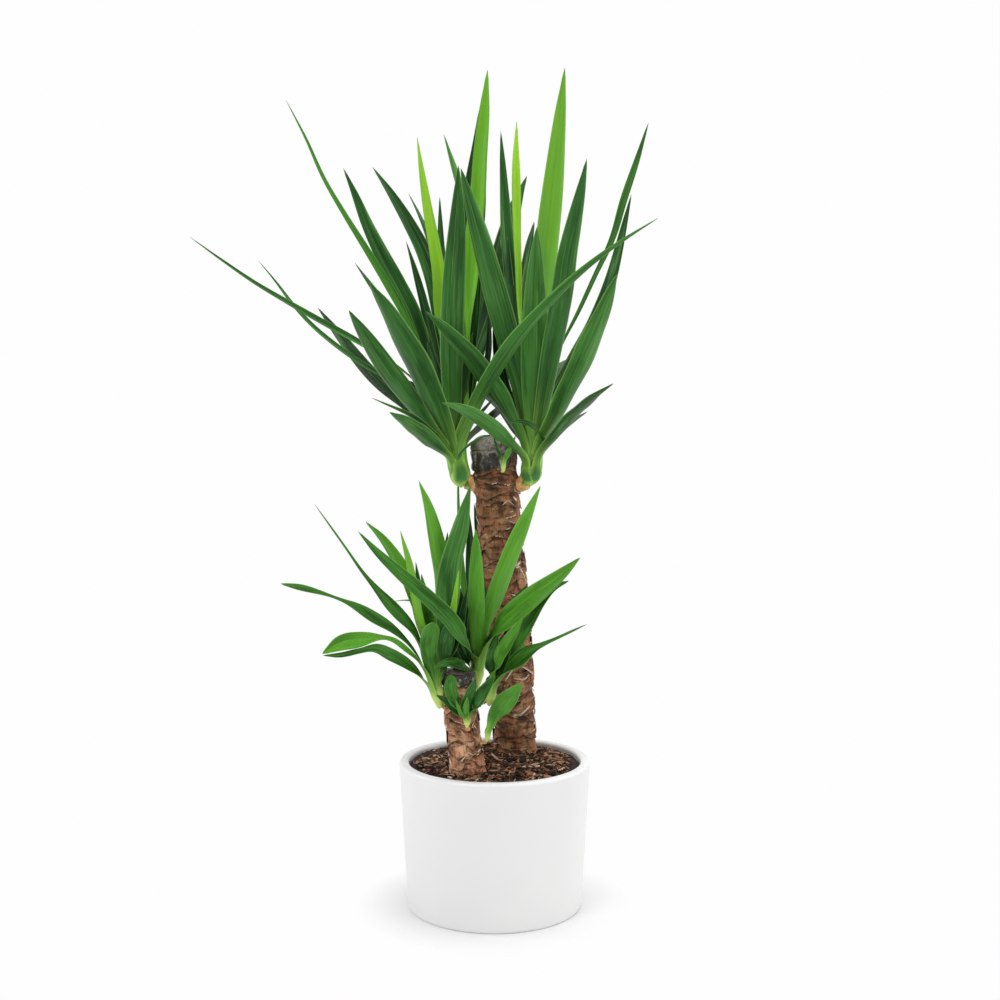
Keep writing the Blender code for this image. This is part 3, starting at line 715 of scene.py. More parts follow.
def build_cane(name, node, finish, low, top, smooth_from, rows, columns, shoulder, tear, seed):
    """A cane with fibrous, scarred bark, from the well's floor to under its wax cap, where it smooths out.

    The shoulder is the height and rise of a swelling. The lower tear is, the more lips are torn pale.
    """
    box_low, box_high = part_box(node)
    axis = cane_axis(node)
    z = np.concatenate([np.linspace(box_low.z, low, BURIED_ROWS, endpoint=False),
                        np.linspace(low, top, rows - BURIED_ROWS)])
    angle = np.linspace(0.0, 2.0 * math.pi, columns, endpoint=False)
    z_grid, angle_grid = np.meshgrid(z, angle, indexing="ij")
    smooth_radius = np.convolve(np.pad(axis.radius(z), 12, mode="edge"), np.ones(25) / 25.0, mode="valid")
    ring = np.stack([np.cos(angle_grid), np.sin(angle_grid), np.zeros_like(z_grid)], axis=-1)
    middle = axis.centre(z)[:, None]
    base = middle + ring * smooth_radius[:, None, None]
    wobble = (bumps(base, 20.0 * MM, seed) * 4.5 + bumps(base, 7.0 * MM, seed + 1.0) * 2.0) * MM
    relief, lip, crack = scars_at(angle_grid + seed, z_grid, low, box_high.z, wobble)
    lumps = bumps(base, 26.0 * MM, seed + 2.0) * 1.2 * MM
    plates = bumps(base * (1.0, 1.0, 1.6), 14.0 * MM, seed + 5.0) * 0.60 * MM
    fibres = bumps(base * (1.0, 1.0, 0.30), 1.5 * MM, seed + 3.0) * 0.12 * MM
    fine = bumps(base, 2.6 * MM, seed + 4.0) * 0.10 * MM
    foot = CANE_FLARE * np.exp(-np.clip(z_grid - low, 0.0, None) / (8.0 * MM))
    height, rise = shoulder
    swell = rise * np.exp(-((z_grid - height) / (13.0 * MM)) ** 2) * (1.0 - 0.55 * np.cos(angle_grid))
    above_ground = ease(z_grid, low - 14.0 * MM, low - 2.0 * MM)
    bare = above_ground * (1.0 - ease(z_grid, smooth_from - 8.0 * MM, smooth_from))
    rough = relief - 0.7 * MM + lumps + plates + fibres + fine + foot + swell
    radius = smooth_radius[:, None] + rough * bare
    radius -= (1.0 - bare) * 0.8 * MM
    rows_out = middle + ring * radius[..., None]
    rows_out[..., 0] -= cane_lean(z_grid)
    tears = bumps(base * (1.0, 1.0, 0.5), 8.0 * MM, seed + 6.0)
    torn = ease(lip, 0.50, 0.85) * ease(tears, tear, tear + 0.11)
    return make_piece(name, with_ends(rows_out), tube_faces(rows, columns), finish, "bark", [node],
                      around=spread(angle_grid * GRAIN_RADIUS), rise=spread(z_grid), lip=spread(lip),
                      crack=spread(crack), torn=spread(torn))


def build_flakes(name, node, finish, low, high, count, seed):
    """Curling plates of old bark whose lower edges stand off the cane."""
    rng = np.random.default_rng(seed)
    axis = cane_axis(node)
    heap = Heap()
    rows, columns = 5, 9
    down, across = np.meshgrid(np.linspace(0.0, 1.0, rows), np.linspace(-1.0, 1.0, columns), indexing="ij")
    along = np.concatenate([down, down[:, ::-1]], axis=1)
    for _ in range(count):
        z = rng.uniform(low, high)
        turn = rng.uniform(0.0, 2.0 * math.pi)
        half_arc = rng.uniform(0.30, 0.75)
        tall = rng.uniform(7.0, 15.0) * MM
        slope = rng.normal(0.0, 6.0) * MM
        lift = rng.uniform(0.3, 1.2) * MM
        ragged = rng.uniform(0.80, 1.10, columns)
        angle = turn + half_arc * across * (1.0 - 0.25 * down)
        level = z - tall * down * ragged - slope * across + tall * 0.12 * across ** 2
        off = 1.4 * MM + lift * down ** 2 * (1.0 - 0.6 * across ** 2)
        skin = 0.25 * MM * (1.0 - np.abs(across) ** 3)
        outer, inner = on_bark(axis, angle, level, off + skin), on_bark(axis, angle, level, off - skin)
        body = np.concatenate([outer, inner[:, ::-1]], axis=1)
        around = np.concatenate([angle, angle[:, ::-1]], axis=1) * GRAIN_RADIUS
        torn = (along > 0.9) * float(rng.uniform() < 0.15)
        # A flake's lower edge takes the lip value: paler, partly worn, partly a painted highlight.
        heap.add(with_ends(body), tube_faces(rows, 2 * columns), around=spread(around),
                 rise=spread(body[..., 2]), lip=spread(along ** 4), torn=spread(torn), crack=0.0)
    return heap.piece(name, finish, "bark")


def build_slivers(name, node, finish, low, high, count, seed):
    """Pale torn slivers that lie along the scar lips of a cane."""
    rng = np.random.default_rng(seed)
    axis = cane_axis(node)
    heap = Heap()
    for _ in range(count):
        z = rng.uniform(low, high)
        turn = rng.uniform(0.0, 2.0 * math.pi)
        half_arc = rng.uniform(0.07, 0.24)
        slope = rng.normal(0.0, 9.0) * MM
        t = np.linspace(-1.0, 1.0, 7)
        height = z + slope * t * half_arc * 2.0
        off = (1.5 + rng.uniform(0.0, 0.6) * t ** 2) * MM
        line = on_bark(axis, turn + half_arc * t, height, off)
        points, faces = strand(line, (0.40 + 0.75 * rng.uniform() ** 2) * MM, 6)
        heap.add(points, faces, pick=float(rng.uniform(0.2, 1.0) ** 0.7))
    return heap.piece(name, finish, "bark")


def build_wax(name, node, cane_node, finish, lift, drop, dome, inset, notch_angle, notch_rise, shift, seed):
    """A wax cap with folds and an uneven hem, closed inside by its own lining.

    Its top is lifted above the node's, its hem dropped below it and notched upward on one side. The dome is
    inset from the hem, and the whole cap is shifted along X.
    """
    low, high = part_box(node)
    high.z += lift
    springing = high.z - dome
    axis = cane_axis(cane_node)
    columns, side_rows, dome_rows = 160, 40, 30
    angle = np.linspace(0.0, 2.0 * math.pi, columns, endpoint=False)
    ring = np.stack([np.cos(angle), np.sin(angle), np.zeros(columns)], axis=-1)
    toward = np.abs((angle - notch_angle + math.pi) % (2.0 * math.pi) - math.pi)
    notch = notch_rise * np.exp(-(toward / 0.55) ** 4)
    round_cane = ring * 22.0 * MM
    hem = low.z - drop + notch + bumps(round_cane, 9.0 * MM, seed) * 3.0 * MM \
        + bumps(round_cane, 3.0 * MM, seed) * 1.4 * MM
    hem = np.minimum(hem, springing - 1.0 * MM)
    radius = axis.radius(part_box(cane_node)[1].z - 6.0 * MM)
    rows = [axis.centre(np.full(columns, springing)) + ring * (radius - 2.0 * MM),
            axis.centre(hem) + ring * (radius + 0.2 * MM)]
    for share in np.linspace(0.0, 1.0, side_rows):
        level = hem + (springing - hem) * share
        grow = (0.9 + 0.9 * ease(np.array(share), 0.0, 0.12)) * MM
        rows.append(axis.centre(level) + ring * (radius + grow))
    for share in np.linspace(0.0, 1.0, dome_rows + 1)[1:-1]:
        climb = dome * math.sin(share * math.pi / 2.0)
        shrink = math.cos(share * math.pi / 2.0) ** 0.9
        step_in = inset * min(1.0, share * 12.0)
        place = axis.centre(np.full(columns, springing + climb)) - (step_in, 0.0, 0.0)
        rows.append(place + ring * (radius + 1.8 * MM - step_in) * shrink)
    rows = np.array(rows)
    outside = np.zeros(rows.shape[:2])
    outside[3:] = 1.0
    height = rows[..., 2] + bumps(rows, 13.0 * MM, seed + 3.0) * 1.6 * MM
    drips = bumps(rows * (1.0, 1.0, 0.25), 5.0 * MM, seed + 4.0) * 4.5 * MM
    top = ease(height, springing - 0.5 * MM, springing + 1.0 * MM)
    band = ease(height + drips, springing - 4.5 * MM, springing - 3.0 * MM) * (1.0 - top)
    folds = 1.0 - np.abs(bumps(rows * (1.0, 1.0, 0.55), 8.0 * MM, seed + 1.0)) * 3.0
    folds = np.clip(folds, 0.0, 1.0) ** 2
    soft = bumps(rows, 12.0 * MM, seed + 2.0)
    brow = np.exp(-((height - springing) / (1.0 * MM)) ** 2)
    away = unit(rows - axis.centre(np.array([springing - 10.0 * MM])))
    rows[..., 0] += shift
    rows += away * (outside * (folds * -1.1 + soft * 0.8 - brow * 1.2 - 0.2))[..., None] * MM
    # Where the wax finish paints shade: the fold troughs and the brow line.
    crease = np.maximum(ease(folds, 0.75, 1.0) * 0.7, brow) * outside
    return make_piece(name, with_ends(rows), tube_faces(len(rows), columns), finish, "seal_wax", [node],
                      top=spread(top), band=spread(band), crease=spread(crease))


# ---------------------------------------------------------------- shoots

# Each crown's base: the cane that carries it, how far above its node's lowest point the green starts, the
# height over which it rounds out to full girth, its girth as a share of the CAD stem's, how far the rounded
# end leans towards the cane, how far above full girth its leaves part, and how deep its stub is pared. All
# lengths are in mm.
HEARTS = {
    "shoot_upper_left": ("tall_cane", 2.0, 19.0, 1.12, 2.0, 14.0, -1.2),
    "shoot_upper_right": ("tall_cane", 5.0, 19.0, 1.12, 2.0, 14.0, -1.2),
    "bud_upper_front": ("tall_cane", 9.0, 9.0, 0.60, 1.0, 3.0, 3.2),
    "shoot_lower_left": ("short_cane", 3.0, 19.0, 0.85, 3.5, 9.0, 2.0),
    "shoot_lower_back": ("short_cane", 3.5, 17.0, 1.00, 1.0, 6.0, 3.2),
    "shoot_lower_right": ("short_cane", 13.5, 12.0, 0.80, 1.5, 5.0, 3.4),
    "sprout_lower_front": ("short_cane", 8.0, 8.0, 0.70, 1.0, 3.0, 2.2),
    "sprout_lower_side": ("short_cane", 7.0, 8.0, 0.55, 1.0, 3.0, 2.2),
}
BULBOUS = {"shoot_upper_left", "shoot_upper_right"}  # crowns with a round foot; the others' is pointed
STUB_RING = 2.6 * MM          # from one ring of a shoot's woody stub to the next
# How far the stub is moved up.
WOOD_LIFT = {"shoot_upper_left": -2.5 * MM, "shoot_upper_right": -1.5 * MM, "shoot_lower_right": 9.0 * MM,
             "shoot_lower_left": -1.0 * MM, "bud_upper_front": 6.0 * MM}


class Heart:
    """The rounded base of a crown, which the sheaths of its leaves wrap: a middle line and a girth."""

    def __init__(self, node):
        cane, rise, rounding, slim, lean, waist, pare = HEARTS[node]
        low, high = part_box(node)
        self.node = node
        self.foot = low.z + rise * MM
        self.rounding = rounding * MM
        self.full = self.foot + self.rounding
        self.waist = self.full + waist * MM
        self.slim = slim
        self.pare = pare * MM
        self.axis = Axis(node, self.full, high.z - 0.6 * MM, 12)
        inward = section(cane, self.full)[0] - self.axis.xy[0]
        self.lean = np.append(unit(inward) * lean * MM, 0.0)

    def below(self, z):
        """0 from full girth upward, and 1 at the foot."""
        return np.clip((self.full - np.asarray(z, float)) / self.rounding, 0.0, 1.0)

    def centre(self, z):
        return self.axis.centre(z) + np.multiply.outer(self.below(z) ** 2, self.lean)

    def radius(self, z):
        if self.node in BULBOUS:
            taper = np.sqrt(1.0 - 0.985 * self.below(z) ** 2)
        else:
            taper = (1.0 - 0.93 * self.below(z)) ** 0.75
        return self.axis.radius(z) * self.slim * taper

    def skin(self, z, heading, lift):
        """Point on the heart's surface, raised by lift, towards a heading."""
        reach = self.radius(z) + lift * (1.0 - 0.7 * self.below(z))
        outward = np.array([math.cos(heading), math.sin(heading), 0.0])
        return self.centre(z) + np.multiply.outer(reach, outward)


def refined(node, voxel):
    """Points, faces and normals of a node's shape at an even, fine grain."""
    copy = placed("refined_" + node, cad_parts[node].data.copy())
    grain = copy.modifiers.new("grain", "REMESH")
    grain.mode = "VOXEL"
    grain.voxel_size = voxel
    soften = copy.modifiers.new("soften", "SMOOTH")
    soften.iterations = 6
    bpy.context.view_layer.update()
    mesh = bpy.data.meshes.new_from_object(copy.evaluated_get(bpy.context.evaluated_depsgraph_get()))
    points = np.array([v.co for v in mesh.vertices])
    normals = np.array([v.normal for v in mesh.vertices])
    faces = [tuple(p.vertices) for p in mesh.polygons]
    bpy.data.objects.remove(copy, do_unlink=True)
    bpy.data.meshes.remove(mesh)
    return points, normals, faces


def build_stem(heart, finish):
    """A shoot's stem: a ringed woody stub, and a green core hidden in the sheaths above it."""
    points, normals, faces = refined(heart.node, 0.8 * MM)
    off_heart = np.linalg.norm((points - heart.centre(points[:, 2]))[:, :2], axis=1)
    girth = heart.radius(heart.full) * 0.9
    within = 1.0 - ease(off_heart, girth, girth + 2.0 * MM)
    green = ease(points[:, 2], heart.foot - 1.0 * MM, heart.foot + 3.0 * MM) * within
    rings = np.sin(points[:, 2] / STUB_RING * 2.0 * math.pi + bumps(points, 7.0 * MM, 4.0) * 4.0)
    lumps = bumps(points, 4.5 * MM, 6.0)
    rough = rings * 0.25 * MM + lumps * 0.9 * MM - heart.pare
    core = -0.45 * np.minimum(heart.radius(points[:, 2]), 7.0 * MM) - heart.pare * 0.3
    points = points + normals * (rough * (1.0 - green) + core * green)[:, None]
    points[:, 2] += WOOD_LIFT.get(heart.node, 0.0) * (1.0 - green)
    return make_piece(heart.node + "_stem", points, faces, finish, "green_stem", [heart.node], green=green)


# ---------------------------------------------------------------- leaves

# The looks of the CAD's leaves in their order: the green (0 dark and bluish, 0.5 middling, 1 lime), the
# width as a share of the CAD's, an extra turn about the blade's own line in degrees, and the outline's name
# where it isn't sword.
# Low greens are partly painted shade: leaves deep in a crown or behind others are given darker greens than
# their own.
LOOKS = {
    "shoot_upper_left": [
        (0.78, 1.1, -95, "broad"), (0.08, 1.9, 0), (0.30, 1.07, 0), (0.18, 0.97, 30), (0.92, 0.94, 100),
        (0.16, 0.97, 50), (0.52, 0.57, 75, "slim"), (0.14, 1.15, 0), (0.32, 1.15, 0), (0.32, 1.1, 0),
        (0.30, 0.42, 60), (0.30, 0.36, 60), (0.40, 1.1, 0), (0.42, 0.9, 0, "slim"), (0.15, 1.1, 0),
        (0.15, 1.1, 0)],
    "shoot_upper_right": [
        (0.20, 1.02, 0), (0.97, 1.1, 100, "spear"), (0.44, 1.1, 0), (0.32, 1.05, 0), (0.36, 1.15, 0),
        (0.48, 1.1, 0), (0.80, 1.2, 0), (0.28, 1.08, 0), (0.40, 0.475, -65, "lance"), (0.10, 0.93, -25),
        (0.44, 1.1, 0), (0.10, 1.0, 0), (0.46, 1.1, 0), (0.12, 0.9, 0), (0.12, 1.1, 0)],
    "shoot_lower_left": [
        (0.48, 1.0, 60, "whip"), (0.46, 0.9, 60, "pinched"), (0.66, 1.15, 80), (0.84, 1.0, 0),
        (0.66, 0.95, 70, "paddle"), (0.76, 1.32, 0), (0.42, 1.35, 0), (0.15, 0.64, 0)],
    "shoot_lower_back": [
        (0.46, 0.92, 105), (0.72, 1.0, 0), (0.76, 1.08, 0), (0.64, 1.3, -85)],
    "shoot_lower_right": [
        (0.50, 1.04, -98), (0.52, 1.12, -85, "whip")],
    "sprout_lower_side": [
        (0.62, 1.35, 0)],
}
# CAD leaves whose line is redrawn closer to the real bends, by shoot and the leaf's number: points in
# centimetres, from the neck to the tip.
REDRAWN = {
    "shoot_upper_left": {
        1: [(-3.2, 3.2, 58.4), (-3.1, 3.1, 65.3), (-2.8, 3, 71), (-2.4, 2.8, 76.7), (-1.9, 2.6, 81.2),
            (-1.6, 2.5, 85.7), (-1.2, 2.3, 90.2), (-0.8, 2, 95.7)],
        2: [(-3.8, 4, 57), (-2.5, 7, 64), (-1, 10, 69), (0.9, 13, 76), (2.4, 16.5, 82), (4, 19.5, 86.7)],
        3: [(-4.7, 1.6, 56.1), (-4.9, 0.3, 60.6), (-4.8, -1.1, 65.1), (-4.6, -2.7, 69.4),
            (-4.3, -4.4, 73.7), (-4, -6.3, 77.8), (-3.8, -9, 83.1)],
        4: [(-4.8, 5.1, 56), (-5.5, 6.5, 61.9), (-6.4, 8, 68.1), (-7.9, 9.5, 74.4), (-9.7, 10.6, 78.3),
            (-11.9, 11.7, 82.3), (-13.5, 12.4, 84.6), (-14.9, 13, 86.7)],
        5: [(-5.2, 2.8, 57.2), (-5.7, 2.4, 63), (-6.3, 2, 68.7), (-6.5, 1.6, 72.9), (-7, 1.3, 76.5),
            (-7.6, 0.9, 79.8), (-8.2, 0.5, 83.6), (-8.7, 0, 87.8)],
        6: [(-6.4, 4.5, 58.4), (-8.3, 5.1, 64.2), (-10.5, 5.8, 70.1), (-12.3, 6.3, 73.4),
            (-14.1, 6.8, 76.8), (-15.2, 7.1, 79.3), (-16.5, 7.5, 82.5), (-17.9, 8, 85.7)],
        7: [(-6.3, 2.9, 58.4), (-8.8, 2.4, 64.8), (-11.8, 1.9, 70.7), (-13.5, 1.6, 73.7),
            (-15.3, 1.4, 76.5), (-17, 1.1, 79.3), (-18.8, 0.9, 82.3), (-21.2, 0.4, 87.6),
            (-23.4, 0, 91.9)],
        11: [(-6.3, 2.1, 57.2), (-8.6, 1.4, 60), (-11.9, 0.6, 62.7), (-15.6, -0.3, 65), (-18.5, -1, 66.6),
            (-22.2, -2, 68.7), (-26.9, -3.2, 71.5), (-30.6, -4.2, 74.1), (-33.3, -5, 76.1)],
        12: [(-7, 4.9, 57.2), (-11.2, 5.9, 60), (-15.6, 6.8, 62.6), (-18.9, 7.5, 64.9),
            (-22.2, 8.3, 67.7), (-23.8, 8.7, 69.4), (-25.9, 9.3, 72.1), (-28.5, 10, 75.2)],
    },
    "shoot_upper_right": {
        1: [(3.5, 6.5, 58.4), (2.8, 8.3, 64.4), (2.2, 9.9, 69.8), (1.7, 11.4, 75.3), (1.3, 12.9, 80.3),
            (1.1, 13.9, 84.1), (0.9, 15, 87.9), (0.7, 16, 91.6)],
        2: [(3.5, 3.3, 58.4), (3.2, 3.2, 63), (2.9, 3.1, 67), (2.7, 2.9, 71), (2.6, 2.7, 75.6),
            (2.4, 2.5, 80.1), (2.3, 2.4, 83.4), (2.4, 2.2, 86.8), (2.5, 2, 89.9)],
        8: [(5.2, 1.2, 56.1), (6.3, -1.6, 62.8), (7.4, -4.8, 69.3), (7.8, -7.1, 73.2), (8.3, -8.8, 75.9),
            (9, -11.4, 79.7), (9.5, -14, 82.9)],
        9: [(5, 3.7, 56), (6.1, 3.6, 60.3), (7.3, 3.5, 63.7), (8.8, 3.5, 66.7), (10.2, 3.4, 69.6),
            (11.9, 3.3, 73.3), (13.1, 3.3, 75.6), (14.2, 3.2, 79), (15.2, 3.1, 82.4), (16.7, 3.1, 86.9),
            (17.6, 3, 90)],
        10: [(6.3, 7.5, 57.8), (8.1, 9.1, 61), (10.2, 10.7, 64.5), (12, 12.1, 67.5), (13.4, 13.4, 70.7),
            (14.6, 14.7, 74.2), (15.5, 15.9, 77.6), (16.3, 16.9, 80.9), (17.1, 18, 84.2)],
        14: [(4, 8.7, 58.4), (3.7, 12.9, 65.8), (3.5, 16.6, 72.2), (3.8, 18.9, 76.1), (4.3, 20.5, 78.9),
            (5, 22, 81.4)],
        15: [(5, 8, 55), (8, 17, 62), (10, 25, 64)],
    },
    "shoot_lower_left": {
        1: [(-6.4, -6, 27), (-7.7, -6.3, 31), (-9.6, -6.7, 33.5), (-11.5, -7, 36), (-13.3, -7.3, 38),
            (-15.7, -7.7, 41.5), (-19.5, -8, 47)],
        2: [(-6.4, -6, 26.8), (-7.7, -6.5, 29), (-10.7, -7, 32.8), (-13, -7.5, 34.4), (-17, -8.5, 36.8),
            (-19, -9, 37.5), (-21.3, -9.5, 38.2), (-23, -10, 38.6)],
        3: [(-6.4, -5.5, 27), (-7.7, -6.4, 33.5), (-9, -7.3, 37.5), (-10.6, -8.2, 41), (-12, -9, 43.2),
            (-13.8, -10, 45.3)],
        4: [(-6.5, -5.5, 27), (-7.9, -6.6, 32.5), (-8.6, -7.7, 35.7), (-9, -9, 39.4), (-10, -11, 44.4)],
        5: [(-6.3, -6, 26), (-7.5, -7.4, 28.7), (-9, -9, 30.7), (-10.5, -10, 32.3), (-12, -11.5, 33),
            (-14.9, -14.3, 33.1), (-16.5, -15.6, 32.9), (-17.7, -16.7, 32.2)],
        6: [(-6.3, -5.5, 27), (-5.8, -6.3, 33), (-5.6, -7, 37.5), (-6.3, -8.6, 43), (-7.3, -10, 47.6),
            (-8, -11, 49.7)],
        7: [(-6.1, -5.5, 28), (-5.3, -6.8, 33), (-5, -8, 36.8), (-4.6, -9.2, 40.6), (-3.7, -10.5, 44),
            (-2.5, -12.5, 49.3)],
        8: [(-6.8, -4.5, 26.5), (-7.4, -2.4, 29.5), (-8.1, -0.3, 32.6), (-8.7, 1.9, 35.8),
            (-9.3, 4, 39.4)],
    },
    "shoot_lower_back": {
        1: [(-2, -3.5, 28), (-2.7, -7, 30.7), (-4, -11.5, 34), (-5.7, -14, 36.5), (-8, -14.5, 38.7),
            (-11.4, -14, 41.6), (-14.3, -13, 44.5)],
        4: [(-1.8, -2.6, 27.8), (-0.9, -3.6, 30.8), (0.6, -4.5, 33.1), (2.6, -5.6, 35.1),
            (4.8, -6.9, 37.2), (7.1, -8.4, 39.2), (9.2, -10, 41.4)],
    },
    "shoot_lower_right": {
        1: [(-0.4, -4.5, 25.7), (0.7, -4.7, 28.4), (1.8, -4.9, 30.7), (2.9, -5.1, 32.8),
            (4.1, -5.3, 34.9), (5.2, -5.5, 36.5), (6.5, -5.7, 37.7), (8.2, -6, 38.4)],
        2: [(-0.5, -5, 25.8), (0.9, -6.2, 28), (2.6, -7.3, 29.8), (4.1, -8.5, 31.2), (6, -9.7, 32.3),
            (9.8, -12, 34.5)],
    },
}
